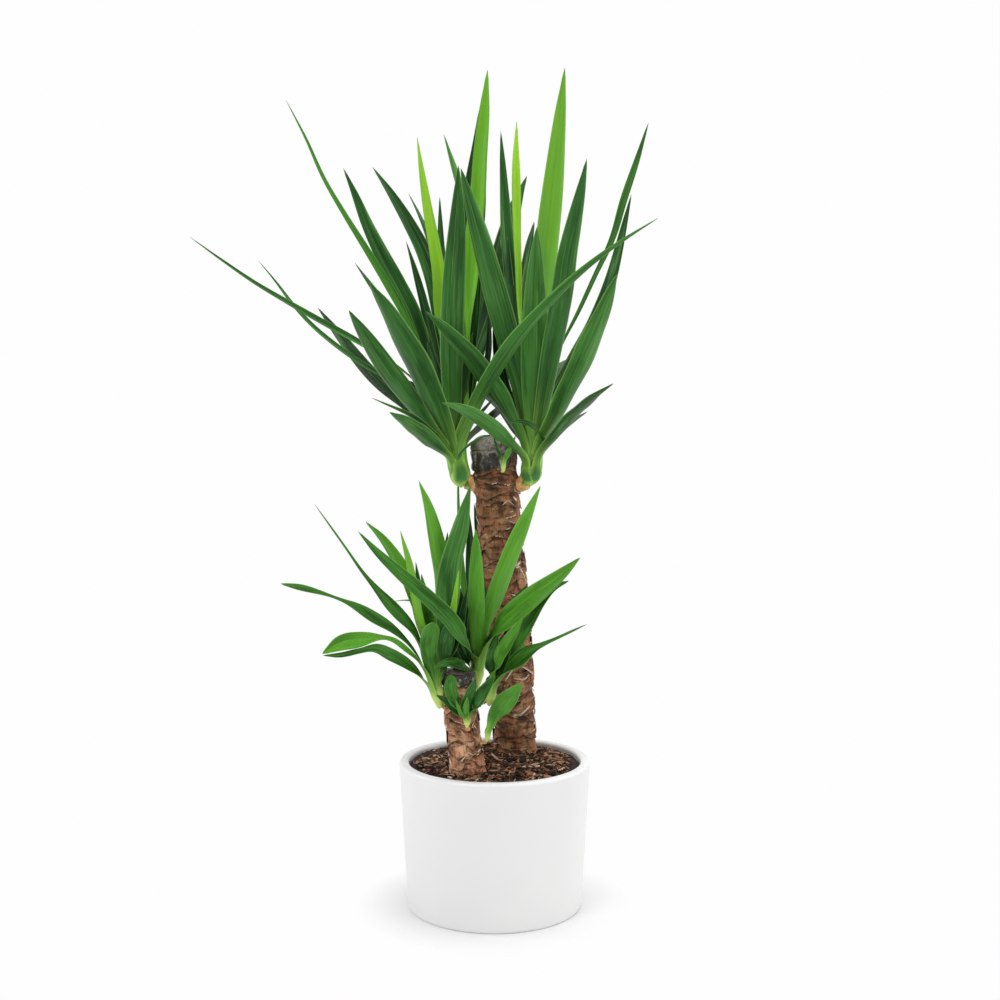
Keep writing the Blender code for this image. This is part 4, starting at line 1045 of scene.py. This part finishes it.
# Leaves that only the looks carry: points in centimetres from the neck to the tip, width in centimetres,
# turn in degrees, green, and the outline's name where it isn't sword.
# Low greens are partly painted shade: leaves deep in a crown or behind others are given darker greens than
# their own.
DRAWN = {
    "shoot_upper_left": [
        ([(-6, 5, 55), (-8, 12, 67), (-9.5, 14, 73), (-11, 15, 78)], 1.6, 0, 0.12),
        ([(-6, 7, 57), (-8.5, 10, 66), (-13.5, 14, 76.5)], 1.7, 0, 0.18),
        ([(-7.4, 5.8, 54.8), (-11.4, 8.4, 58.2), (-14.9, 10.8, 61.4), (-19.8, 14.3, 67.1),
          (-22.1, 16, 69.9)], 1.9, 45, 0.05),
        ([(-6.5, 0, 54), (-9, -6, 56.5), (-13, -10, 58.5)], 1.2, 0, 0.38),
        ([(-5, 5, 58), (-6.5, 10, 77), (-6.7, 12, 83)], 1.5, 0, 0.10),
        ([(-4.5, 6, 58), (-5.8, 10, 75), (-5.5, 11, 79)], 1.3, 0, 0.08),
        ([(-4.5, 2.5, 51.2), (-3.2, 0, 53), (-1.7, 0, 54), (0, 1, 54.5)], 0.8, 0, 0.30),
        ([(-2.5, 7, 58), (1, 10, 65), (0.2, 12, 72), (0.6, 14, 78.5)], 1.7, 0, 0.03),
        ([(-4, 3, 54), (-1.5, 6.5, 57), (0.6, 10, 59.4)], 0.7, 0, 0.08),
        ([(-4, 8, 56), (-3, 13, 62), (-1, 18, 66)], 1.7, 0, 0.05),
        ([(-6, 8, 55), (-10, 15, 60), (-15, 22, 62)], 1.7, 0, 0.12),
        ([(-3, 8, 54), (2, 16, 58), (7, 24, 59)], 1.7, 0, 0.12),
        ([(-4.5, 3, 56), (-5.2, 1, 61), (-6, -1, 66)], 1.6, 0, 0.35),
        ([(-4, 3, 57), (-3.2, 2, 62), (-2.5, 1, 66)], 1.6, 0, 0.10),
        ([(-5, 4, 57), (-7, 5, 62), (-8, 6, 66)], 1.6, 40, 0.06),
        ([(-5.1, 8.3, 60.8), (-6, 12, 68.1), (-7.3, 15.5, 75.5), (-8.9, 17.8, 80.2), (-11, 20, 84.6)],
          1.4, 0, 0.16),
        ([(-4.5, 3.5, 56), (-4.3, 3.9, 66.5), (-3.8, 4.3, 75.7), (-3.1, 4.6, 82.7), (-2.4, 4.8, 87.3),
          (-1.8, 5, 91.9)], 1.5, -61, 0.10),
        ([(-2.9, 3.5, 58.4), (-2.2, 4.1, 68.8), (-1.6, 4.6, 76.9), (-1.2, 4.8, 81), (-1, 5, 84.1)],
          0.9, -52, 0.08),
        ([(-3, 5, 57), (-1.2, 5.2, 61), (-0.6, 5.6, 65), (-0.8, 6, 70)], 1.5, -12, 0.10),
    ],
    "shoot_upper_right": [
        ([(6, 5, 53), (9, 10, 55.5), (11.5, 15, 57)], 1.1, 0, 0.22),
        ([(5.5, 1.5, 54), (4.2, 0, 55.5), (3, -0.5, 55.9), (1.6, -1, 55.8)], 0.9, 75, 0.25),
        ([(4, 6, 57), (4, 16, 74.5), (5, 20, 81)], 1.4, 0, 0.10),
        ([(3.5, 6, 57), (2, 10, 68), (1.5, 11, 78)], 1.7, 0, 0.03),
        ([(3.6, 3.5, 54.5), (1.3, 8, 57), (-0.3, 12, 59)], 0.8, 0, 0.06),
        ([(5, 7, 56), (6, 12, 68), (6.5, 14, 77)], 1.7, 0, 0.08),
        ([(5, 8, 55), (7, 15, 60), (9, 22, 63)], 1.7, 0, 0.10),
        ([(3, 7, 54), (0, 13, 58), (-4, 20, 60)], 1.7, 0, 0.06),
        ([(5.5, 7, 54), (8, 15, 59), (9, 23, 60)], 1.7, 0, 0.20),
        ([(4.3, 3, 56), (4.6, 1, 61), (5, -1, 66)], 1.6, 0, 0.42),
        ([(4, 3, 57), (3, 2, 62), (2, 1, 66)], 1.6, 0, 0.06),
        ([(4.8, 4, 57), (6.5, 5, 62), (7.5, 6, 66)], 1.6, 0, 0.12),
        ([(4, 6.5, 55), (1.6, 8.5, 58.6), (0.6, 9.5, 62.6), (0.2, 10, 66.2), (-0.1, 10.5, 70.4)],
          1.5, 50, 0.08),
    ],
    "bud_upper_front": [
        ([(1, 1.5, 50.8), (1.5, 0.5, 52), (2.4, 0, 54.3)], 0.85, 0, 0.66),
        ([(1, 1.5, 50.8), (0.4, 0.8, 52.4), (-0.2, 0.5, 54.4)], 0.55, 0, 0.12),
    ],
    "shoot_lower_left": [
        ([(-6.8, -5, 26.6), (-6.9, -4.1, 30.4), (-7.4, -3.3, 33.6), (-7.9, -2.6, 36.4), (-8.3, -2, 38.7)],
          1.5, 0, 0.48),
        ([(-6.4, -6, 25), (-7.6, -6.6, 27), (-9.3, -7, 29), (-11.2, -7.7, 30.4), (-12.9, -8.3, 31.3),
          (-16.2, -9.4, 30.8), (-18.5, -10, 30.8)], 1.45, 85, 0.48, "trailing"),
        ([(-6.5, -3, 28), (-9.7, 0, 35.4), (-11.6, 0, 35.3)], 1.2, 0, 0.45),
        ([(-5.5, -5, 30), (-4.8, -5.5, 33.5), (-4.3, -9, 36.6), (-3.8, -10.5, 40.2)], 0.9, 0, 0.90),
        ([(-6.4, -6, 26.2), (-7, -7.2, 28.9), (-7.2, -8.1, 31.1), (-7, -8.8, 32.7), (-6.4, -9.5, 34.3)],
          2.1, 0, 0.56, "blunt"),
        ([(-6, -5.5, 26.7), (-5.5, -6.3, 29.1), (-5.2, -7, 31.2), (-5, -7.6, 32.7), (-4.8, -8, 34.2)],
          1.9, 0, 0.22, "blunt"),
        ([(-6.1, -5.5, 27), (-4.7, -6, 30.7), (-3.6, -6.5, 34), (-3, -7, 37.6)], 1.4, -75, 0.08),
        ([(-6.1, -5.5, 27), (-5.2, -5.2, 31), (-4.6, -5, 35)], 1.6, -50, 0.08, "blunt"),
        ([(-6.5, -4, 28), (-6, 0, 36), (-5.5, 3, 43)], 1.6, 0, 0.06),
        ([(-6.5, -4, 28), (-8, 2, 33), (-9, 8, 36)], 1.5, 0, 0.12),
        ([(-6, -4.5, 29), (-5, -4, 34), (-4.2, -3, 40)], 1.9, 0, 0.06),
        ([(-6, -5, 28), (-5, -4.5, 32), (-3.5, -4, 36)], 1.7, -45, 0.05),
    ],
    "shoot_lower_back": [
        ([(-1.6, -3, 28), (-0.6, -2.6, 30.7), (1, -2.2, 33.6), (2.4, -1.8, 35.7), (3.8, -1.5, 37.5)],
          1.2, -76, 0.30),
        ([(-2.2, -3.5, 27.3), (-2.9, -4.6, 28.2), (-3.6, -5.6, 28.9), (-4.5, -6.7, 29.4),
          (-5.4, -7.7, 29.6), (-6.1, -8.7, 29.5), (-6.6, -9.5, 29.3)], 1.2, 85, 0.44),
        ([(-2, -3, 27.7), (-3, -3.2, 30.2), (-3.9, -3.4, 33)], 1.5, 70, 0.10, "blunt"),
        ([(-2.5, -1.5, 28.5), (-3.5, 1, 36), (-4.2, 4, 44), (-4.4, 6, 51.5)], 0.8, 0, 0.60, "slim"),
        ([(-2.2, -1, 29), (-2.8, 4, 38), (-3.1, 8, 45)], 1.4, 0, 0.10),
        ([(-1.8, -1, 29), (-1.5, 5, 38), (-2.5, 8, 46)], 1.4, 0, 0.16),
        ([(-1.5, -1, 28), (3, 5, 32), (7, 11, 35)], 1.6, 0, 0.20),
        ([(-2, -0.5, 28), (-3, 6, 31), (-5, 13, 33)], 1.6, 0, 0.20),
        ([(-2.3, -1.5, 28), (-3.5, -1.5, 33), (-4.8, -1, 38.5)], 2.0, 55, 0.05),
        ([(-2, -2, 28), (-2.2, -3, 33), (-1.8, -4, 38)], 1.9, 0, 0.08),
        ([(-1.7, -2, 28), (-1.1, -2, 31), (-0.6, -1.5, 33.5)], 1.4, 0, 0.10),
        ([(-2.3, -3, 27.4), (-3.2, -3.2, 29.3), (-4.1, -3.3, 31.3), (-4.8, -3.5, 33.5)], 1.7, 95, 0.16),
        ([(-2.5, -4, 27), (-3.8, -4.2, 28.3), (-4.7, -4.3, 30), (-5, -4.5, 32.5)], 1.5, 95, 0.26),
    ],
    "shoot_lower_right": [
        ([(-0.4, -5, 26), (0.1, -6.9, 28.9), (0.8, -8.4, 30.9), (1.8, -10, 32.8), (3.1, -12, 35.3)],
          1.6, -110, 0.62),
        ([(-0.8, -5, 26), (-0.3, -6, 29.5), (0.4, -7, 32.6)], 1.4, -120, 0.28),
        ([(-0.4, -5, 26), (1, -5.2, 29.5), (2, -5.5, 32.5)], 1.5, -70, 0.16),
    ],
    "sprout_lower_front": [
        ([(-3.1, -7.8, 23), (-4.1, -8.5, 24.3), (-5.1, -9.3, 25.6), (-6.3, -10, 26.5)], 1.0, 95, 0.24),
        ([(-3.1, -7.8, 23), (-3.9, -8.4, 24.6), (-4.5, -9, 26), (-4.8, -9.4, 27.1), (-4.8, -10, 28.7)],
          1.7, 110, 0.50, "blunt"),
        ([(-3.2, -8, 23), (-3.8, -9.2, 24.5), (-4.2, -10, 26)], 0.6, 0, 0.62),
        ([(-3.1, -8, 23), (-3.1, -9.2, 24.7), (-2.9, -10, 26.3)], 0.8, 0, 0.62),
        ([(-3.1, -7.8, 23), (-3, -8.5, 25), (-2.5, -9.3, 26.7), (-2, -10, 28.3)], 1.5, 0, 0.26),
        ([(-2.9, -7.8, 23.3), (-2.2, -8.6, 25), (-1.3, -9.3, 26.5), (-0.6, -10, 27.7),
          (0.1, -10.5, 28.7)], 1.5, -105, 0.30),
        ([(-2.8, -7.6, 23), (-1.9, -8, 24.8), (-0.9, -8.2, 26.3)], 0.9, -35, 0.30),
    ],
    "sprout_lower_side": [
        ([(-0.6, -6, 22), (0.5, -5.5, 24.3), (1.5, -5, 26)], 1.1, -60, 0.24),
    ],
}


def turned(line, ups, degrees):
    """Upward sides turned about a line, more and more over its first part."""
    along = unit(np.gradient(line, axis=0))
    across = np.cross(ups, along)
    turn = (np.radians(degrees) * np.minimum(1.0, np.linspace(0.0, 1.0, len(line)) * 2.5))[:, None]
    return unit(ups * np.cos(turn) + across * np.sin(turn))


def read_blade(name, gain, turn):
    """Middle line, upward side and greatest half-width of a CAD leaf, from its neck to its tip."""
    points = node_points(name)
    offsets = points - points.mean(axis=0)
    chord = np.linalg.svd(offsets, full_matrices=False)[2][0]
    stations = points[np.argsort(offsets @ chord)].reshape(CAD_STATIONS, -1, 3)
    middles = stations.mean(axis=1)
    ups, halves = [], []
    for station, middle in zip(stations, middles):
        rel = station - middle
        reach = rel @ np.linalg.svd(rel, full_matrices=False)[2][0]
        order = np.argsort(np.abs(reach))
        ups.append(rel[order[2:]].mean(axis=0) - rel[order[:2]].mean(axis=0))
        halves.append((reach.max() - reach.min()) / 2.0)
    if halves[0] < halves[-1]:
        middles, ups, halves = middles[::-1], ups[::-1], halves[::-1]
    return middles, turned(middles, unit(np.array(ups)), turn), max(halves) * gain


def drawn_blade(points, width, turn):
    """What read_blade gives, for a leaf drawn as points in centimetres, its width kept level."""
    keys = np.array(points, float) * CM
    places = np.concatenate([[0.0], np.cumsum(np.linalg.norm(np.diff(keys, axis=0), axis=1))])
    line = through(places, keys, np.linspace(0.0, places[-1], CAD_STATIONS))
    reach = line[-1] - line[0]
    heading = math.atan2(reach[1], reach[0])
    side = np.array([-math.sin(heading), math.cos(heading), 0.0])
    ups = unit(np.cross(unit(np.gradient(line, axis=0)), side))
    return line, turned(line, ups, turn), width / 2.0


def leaf_route(heart, middles, ups, half_max, rank, base_heading):
    """A leaf's way from its sheath's foot to its tip.

    Returns its line, its upward and sideways ways, each row's share (-1 at the foot, 0 at the neck, 1 at
    the tip), and how far its sheath is lifted off the heart.
    """
    waist = float(np.clip(middles[0][2], heart.full + 2.0 * MM, heart.waist))
    ahead = middles[2] - heart.centre(waist)
    heading = math.atan2(ahead[1], ahead[0]) if base_heading is None else math.radians(base_heading)
    outward = np.array([math.cos(heading), math.sin(heading), 0.0])
    lift = 0.3 * MM + SHEATH_LAYER * max(0, SHEATH_LAYERS - rank) * min(1.0, half_max / (8.0 * MM))
    foot = min(heart.foot + 0.5 * MM * rank, heart.full - 1.0 * MM)
    sheath = heart.skin(foot + (waist - foot) * SHEATH_SHARES, heading, lift)
    leave = max(14.0 * MM, min(0.22 * np.linalg.norm(middles[-1] - middles[0]), 60.0 * MM))
    kept = np.linalg.norm(middles - sheath[-1], axis=1) > leave
    kept[-2:] = True
    kept = kept | (np.cumsum(kept) > 0)
    keys = np.concatenate([sheath, middles[kept]])
    key_ups = np.concatenate([np.repeat(-outward[None], len(sheath), axis=0), ups[kept]])
    # The neck turns gradually from hugging the heart to the blade's own way.
    after_neck = len(sheath)
    key_ups[after_neck] = unit(key_ups[after_neck] - outward * 0.5)
    places = np.concatenate([[0.0], np.cumsum(np.linalg.norm(np.diff(keys, axis=0), axis=1))])
    neck = places[after_neck - 1]
    wanted = np.concatenate([neck * np.linspace(0.0, 1.0, SHEATH_ROWS, endpoint=False) ** 1.5,
                             neck + (places[-1] - neck) * np.linspace(0.0, 1.0, BLADE_ROWS)])
    line = through(places, keys, wanted)
    along = unit(np.gradient(line, wanted, axis=0))
    across = unit(np.cross(through(places, key_ups, wanted), along))
    share = (wanted - neck) / np.where(wanted < neck, neck, places[-1] - neck)
    return line, np.cross(along, across), across, share, lift


def blade_rows(heart, middles, ups, half_max, outline, rank, base_heading, rng):
    """Points (rows, columns round the section, 3) of a leaf from its sheath to its tip, and its values."""
    line, up, across, share, lift = leaf_route(heart, middles, ups, half_max, rank, base_heading)
    blade = np.clip(share, 0.0, 1.0)
    profile = np.interp(blade, *np.array(OUTLINES[outline]).T)
    profile = np.convolve(np.pad(profile, 2, mode="edge"), np.ones(5) / 5.0, mode="valid")
    profile[-1] = 0.012
    hug_radius = heart.radius(line[:, 2]) + lift
    in_sheath = ease(-share, 0.0, 1.0)
    half = half_max * profile * (1.0 - in_sheath) + SHEATH_WRAP * hug_radius * in_sheath
    half = np.where(share < 0.0, np.minimum(half, SHEATH_WRAP * hug_radius), half)
    hug = np.minimum(half / hug_radius, SHEATH_WRAP)
    settle = ease(blade, 0.0, 0.13)
    curl = hug * (1.0 - settle) + (BLADE_CURL * (1.0 + 0.25 * np.sin(blade * 7.0 + rank))) * settle

    a = np.linspace(-1.0, 1.0, BLADE_COLUMNS)
    bend = (half / curl)[:, None]
    side = bend * np.sin(curl[:, None] * a)
    depth = bend * (1.0 - np.cos(curl[:, None] * a))
    depth = depth + np.sqrt(a ** 2 + 0.02) * (half * BLADE_FOLD * settle)[:, None]
    depth -= (depth.mean(axis=1) * settle)[:, None]
    waves = rng.uniform(2.0, 4.0)
    phase = rng.uniform(0.0, 6.0, 2)
    ripple = np.sin(blade[:, None] * waves * 2.0 * math.pi + np.where(a < 0.0, phase[0], phase[1])) * a ** 2
    depth += ripple * (half * BLADE_RIPPLE * settle)[:, None]
    thickness = BLADE_THICKNESS * (0.35 + 0.65 * np.sqrt(np.maximum(profile, 0.0)))
    thickness = thickness * np.minimum(1.0, half_max / (5.0 * MM))
    thick = 0.5 * thickness[:, None] * np.sqrt(1.0 - 0.93 * a ** 2)
    surface = line[:, None] + across[:, None] * side[..., None]
    top = surface + up[:, None] * (depth + thick)[..., None]
    under = surface + up[:, None] * (depth - thick)[..., None]
    rows = np.concatenate([top, under[:, ::-1]], axis=1)
    values = {
        "along": np.repeat(share[:, None], 2 * BLADE_COLUMNS, axis=1),
        "across": np.tile(np.concatenate([a, a[::-1]]), (len(line), 1)),
        "under": np.tile(np.repeat([0.0, 1.0], BLADE_COLUMNS), (len(line), 1)),
    }
    return rows, values


def build_leaf(name, heart, shape, outline, rank, base_heading, tint, finish, rng, replaced):
    """One leaf from its sheath to its tip. The rank counts a crown's leaves from the outermost inward."""
    rows, values = blade_rows(heart, *shape, outline, rank, base_heading, rng)
    points = with_ends(rows)
    whole = {"tint": tint, "pick": float(rng.uniform()), "pale": 0.0 if heart.node in BULBOUS else 1.0}
    return make_piece(name, points, tube_faces(len(rows), rows.shape[1]), finish, "leaf", replaced,
                      **{key: np.full(len(points), number) for key, number in whole.items()},
                      **{key: spread(numbers) for key, numbers in values.items()})


def build_crown(heart, finish, rng):
    """All the leaves of a shoot: those of the CAD, and those that only the looks carry."""
    leaves = []
    redrawn = REDRAWN.get(heart.node, {})
    for number, (tint, gain, turn, *outline) in enumerate(LOOKS.get(heart.node, []), start=1):
        node = f"{heart.node}_leaf_{number:02d}"
        shape = read_blade(node, gain, turn)
        if number in redrawn:
            shape = drawn_blade(redrawn[number], shape[2] * 2.0, turn)
        leaves.append((f"{heart.node}_blade_{number:02d}", shape, outline, tint, [node]))
    for number, (points, width, turn, tint, *outline) in enumerate(DRAWN.get(heart.node, []), start=1):
        shape = drawn_blade(points, width * CM, turn)
        leaves.append((f"{heart.node}_extra_{number:02d}", shape, outline, tint, []))

    def outer_first(leaf):
        reach = leaf[1][0][-1] - heart.centre(heart.full)
        first = 1 if leaf[4] and leaf[4][0] in OUTERMOST else 0
        return -first, math.atan2(reach[2], math.hypot(reach[0], reach[1]))

    leaves.sort(key=outer_first)
    for rank, (name, shape, outline, tint, replaced) in enumerate(leaves):
        base_heading = OUTERMOST.get(replaced[0]) if replaced else None
        shape_name = outline[0] if outline else "sword"
        build_leaf(name, heart, shape, shape_name, rank, base_heading, tint, finish, rng, replaced)


# ---------------------------------------------------------------- stage

def add_node(tree, kind, **inputs):
    """A new node with some of its inputs set."""
    made = tree.nodes.new(kind)
    for key, value in inputs.items():
        made.inputs[key.replace("_", " ")].default_value = value
    return made


def grey(level):
    return level, level, level, 1.0


def blend(tree, share, first, second):
    """A mix of two shaders."""
    mix = add_node(tree, "ShaderNodeMixShader")
    tree.links.new(share, mix.inputs[0])
    tree.links.new(first.outputs[0], mix.inputs[1])
    tree.links.new(second.outputs[0], mix.inputs[2])
    return mix


def ghost_mix(tree, plain, shown):
    """Shows one shader to the camera and to mirror rays, and the other to all else."""
    path = add_node(tree, "ShaderNodeLightPath")
    either = add_node(tree, "ShaderNodeMath")
    either.operation = "MAXIMUM"
    tree.links.new(path.outputs["Is Camera Ray"], either.inputs[0])
    tree.links.new(path.outputs["Is Glossy Ray"], either.inputs[1])
    return blend(tree, either.outputs[0], plain, shown)


def build_world():
    """Soft even light, with a white backdrop for the camera."""
    world = bpy.data.worlds.new("studio")
    bpy.context.scene.world = world
    world.use_nodes = True
    tree = world.node_tree
    light = tree.nodes["Background"]
    light.inputs["Color"].default_value = grey(1.0)
    light.inputs["Strength"].default_value = WORLD_LIGHT
    backdrop = add_node(tree, "ShaderNodeBackground", Color=grey(1.0), Strength=BACKDROP)
    both = ghost_mix(tree, light, backdrop)
    tree.links.new(both.outputs[0], tree.nodes["World Output"].inputs["Surface"])


def build_floor():
    """A floor that reads white; round the pot it is painted darker as a shadow, and takes the pot's real
    shadow.
    """
    corners = [(x * FLOOR_REACH, y * FLOOR_REACH, 0.0) for x, y in ((-1, -1), (1, -1), (1, 1), (-1, 1))]
    mesh = bpy.data.meshes.new("floor")
    mesh.from_pydata(corners, [], [(0, 1, 2, 3)])
    floor = placed("floor", mesh)
    pale = bpy.data.materials.new("studio_floor")
    pale.use_nodes = True
    tree = pale.node_tree
    tree.nodes.remove(tree.nodes["Principled BSDF"])
    plain = add_node(tree, "ShaderNodeBsdfDiffuse", Color=grey(FLOOR_TONE))
    place = add_node(tree, "ShaderNodeTexCoord")
    distance = add_node(tree, "ShaderNodeVectorMath")
    distance.operation = "LENGTH"
    tree.links.new(place.outputs["Object"], distance.inputs[0])
    share = add_node(tree, "ShaderNodeMapRange", From_Min=FLOOR_SHADED, From_Max=FLOOR_CLEAR)
    tree.links.new(distance.outputs["Value"], share.inputs["Value"])
    # Painted shadow: a darker floor within FLOOR_CLEAR of the pot, besides the real shadow it takes.
    shade = add_node(tree, "ShaderNodeBsdfDiffuse", Color=grey(SHADOW_TONE))
    glow = add_node(tree, "ShaderNodeEmission", Color=grey(BACKDROP))
    shown = blend(tree, share.outputs["Result"], shade, glow)
    both = ghost_mix(tree, plain, shown)
    tree.links.new(both.outputs[0], tree.nodes["Material Output"].inputs["Surface"])
    mesh.materials.append(pale)


def area_light(name, place, size, power):
    lamp = bpy.data.lights.new(name, "AREA")
    lamp.shape = "DISK"
    lamp.size = size
    lamp.energy = power
    made = placed(name, lamp)
    made.location = place
    made.rotation_euler = (Vector(AIM) - Vector(place)).to_track_quat("-Z", "Y").to_euler()


def build_stage():
    """World, floor, lamps and camera."""
    build_world()
    build_floor()
    for lamp in LAMPS:
        area_light(*lamp)
    lens = bpy.data.cameras.new("camera")
    lens.lens = CAMERA_LENS
    lens.sensor_width = 36.0
    camera = placed("camera", lens)
    camera.location = CAMERA_PLACE
    camera.rotation_euler = (math.radians(90.0 - CAMERA_PITCH_DOWN), 0.0, 0.0)
    bpy.context.scene.camera = camera
    bpy.context.scene.view_settings.view_transform = "Standard"


# ---------------------------------------------------------------- the plant

def build_canes(straw):
    """Both canes: their bark, its flakes and slivers, and the wax on their tops."""
    old_bark = bark_finish("old_bark", (0.030, 0.013, 0.006), (0.165, 0.080, 0.036), (0.400, 0.215, 0.110),
                           (0.30, 0.112, 0.048))
    young_bark = bark_finish("young_bark", (0.060, 0.024, 0.012), (0.260, 0.122, 0.062),
                             (0.680, 0.390, 0.230), (0.42, 0.160, 0.078))
    old_wax = wax_finish("old_wax", (0.21, 0.19, 0.15), (0.30, 0.24, 0.17))
    young_wax = wax_finish("young_wax", (0.135, 0.108, 0.085), (0.045, 0.036, 0.030))
    low = ground()
    tall_hem, tall_cap = (corner.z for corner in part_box("tall_cane_seal"))
    short_hem, short_cap = (corner.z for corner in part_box("short_cane_seal"))
    tall_top = tall_cap - 20.0 * MM
    short_top = short_cap - 11.0 * MM
    build_cane("tall_cane_bark", "tall_cane", old_bark, low, tall_top, smooth_from=tall_top - 23 * MM,
               rows=450, columns=220, shoulder=(0.488, 4.2 * MM), tear=0.14, seed=1.0)
    build_cane("short_cane_bark", "short_cane", young_bark, low, short_top, smooth_from=short_top - 4 * MM,
               rows=190, columns=180, shoulder=(0.0, 0.0), tear=-0.02, seed=2.0)
    build_flakes("tall_cane_flakes", "tall_cane", old_bark, low + 10 * MM, 0.462, count=130, seed=8)
    build_flakes("short_cane_flakes", "short_cane", young_bark, low + 8 * MM, short_hem - 8 * MM,
                 count=30, seed=9)
    build_slivers("tall_cane_slivers", "tall_cane", straw, low + 6 * MM, tall_hem - 16 * MM,
                  count=90, seed=5)
    build_slivers("short_cane_slivers", "short_cane", straw, low + 4 * MM, short_hem - 6 * MM,
                  count=40, seed=6)
    build_wax("tall_cane_wax", "tall_cane_seal", "tall_cane", old_wax, lift=0.0, drop=12 * MM, dome=18 * MM,
              inset=3.5 * MM, notch_angle=math.radians(-15), notch_rise=20 * MM, shift=-3 * MM, seed=1.0)
    build_wax("short_cane_wax", "short_cane_seal", "short_cane", young_wax, lift=4.5 * MM, drop=-1 * MM,
              dome=4 * MM, inset=0.0, notch_angle=math.radians(60), notch_rise=1 * MM, shift=0.0, seed=2.0)


def build_shoots():
    stem = stem_finish()
    leaf = leaf_finish()
    rng = np.random.default_rng(7)
    for shoot in HEARTS:
        heart = Heart(shoot)
        build_stem(heart, stem)
        build_crown(heart, leaf, rng)


def main():
    build_stage()
    build_pot(glaze_finish())
    mulch = mulch_finish()
    straw = straw_finish()
    build_mulch_bed(mulch)
    build_chips(mulch)
    build_fibres(straw)
    build_canes(straw)
    build_shoots()


main()
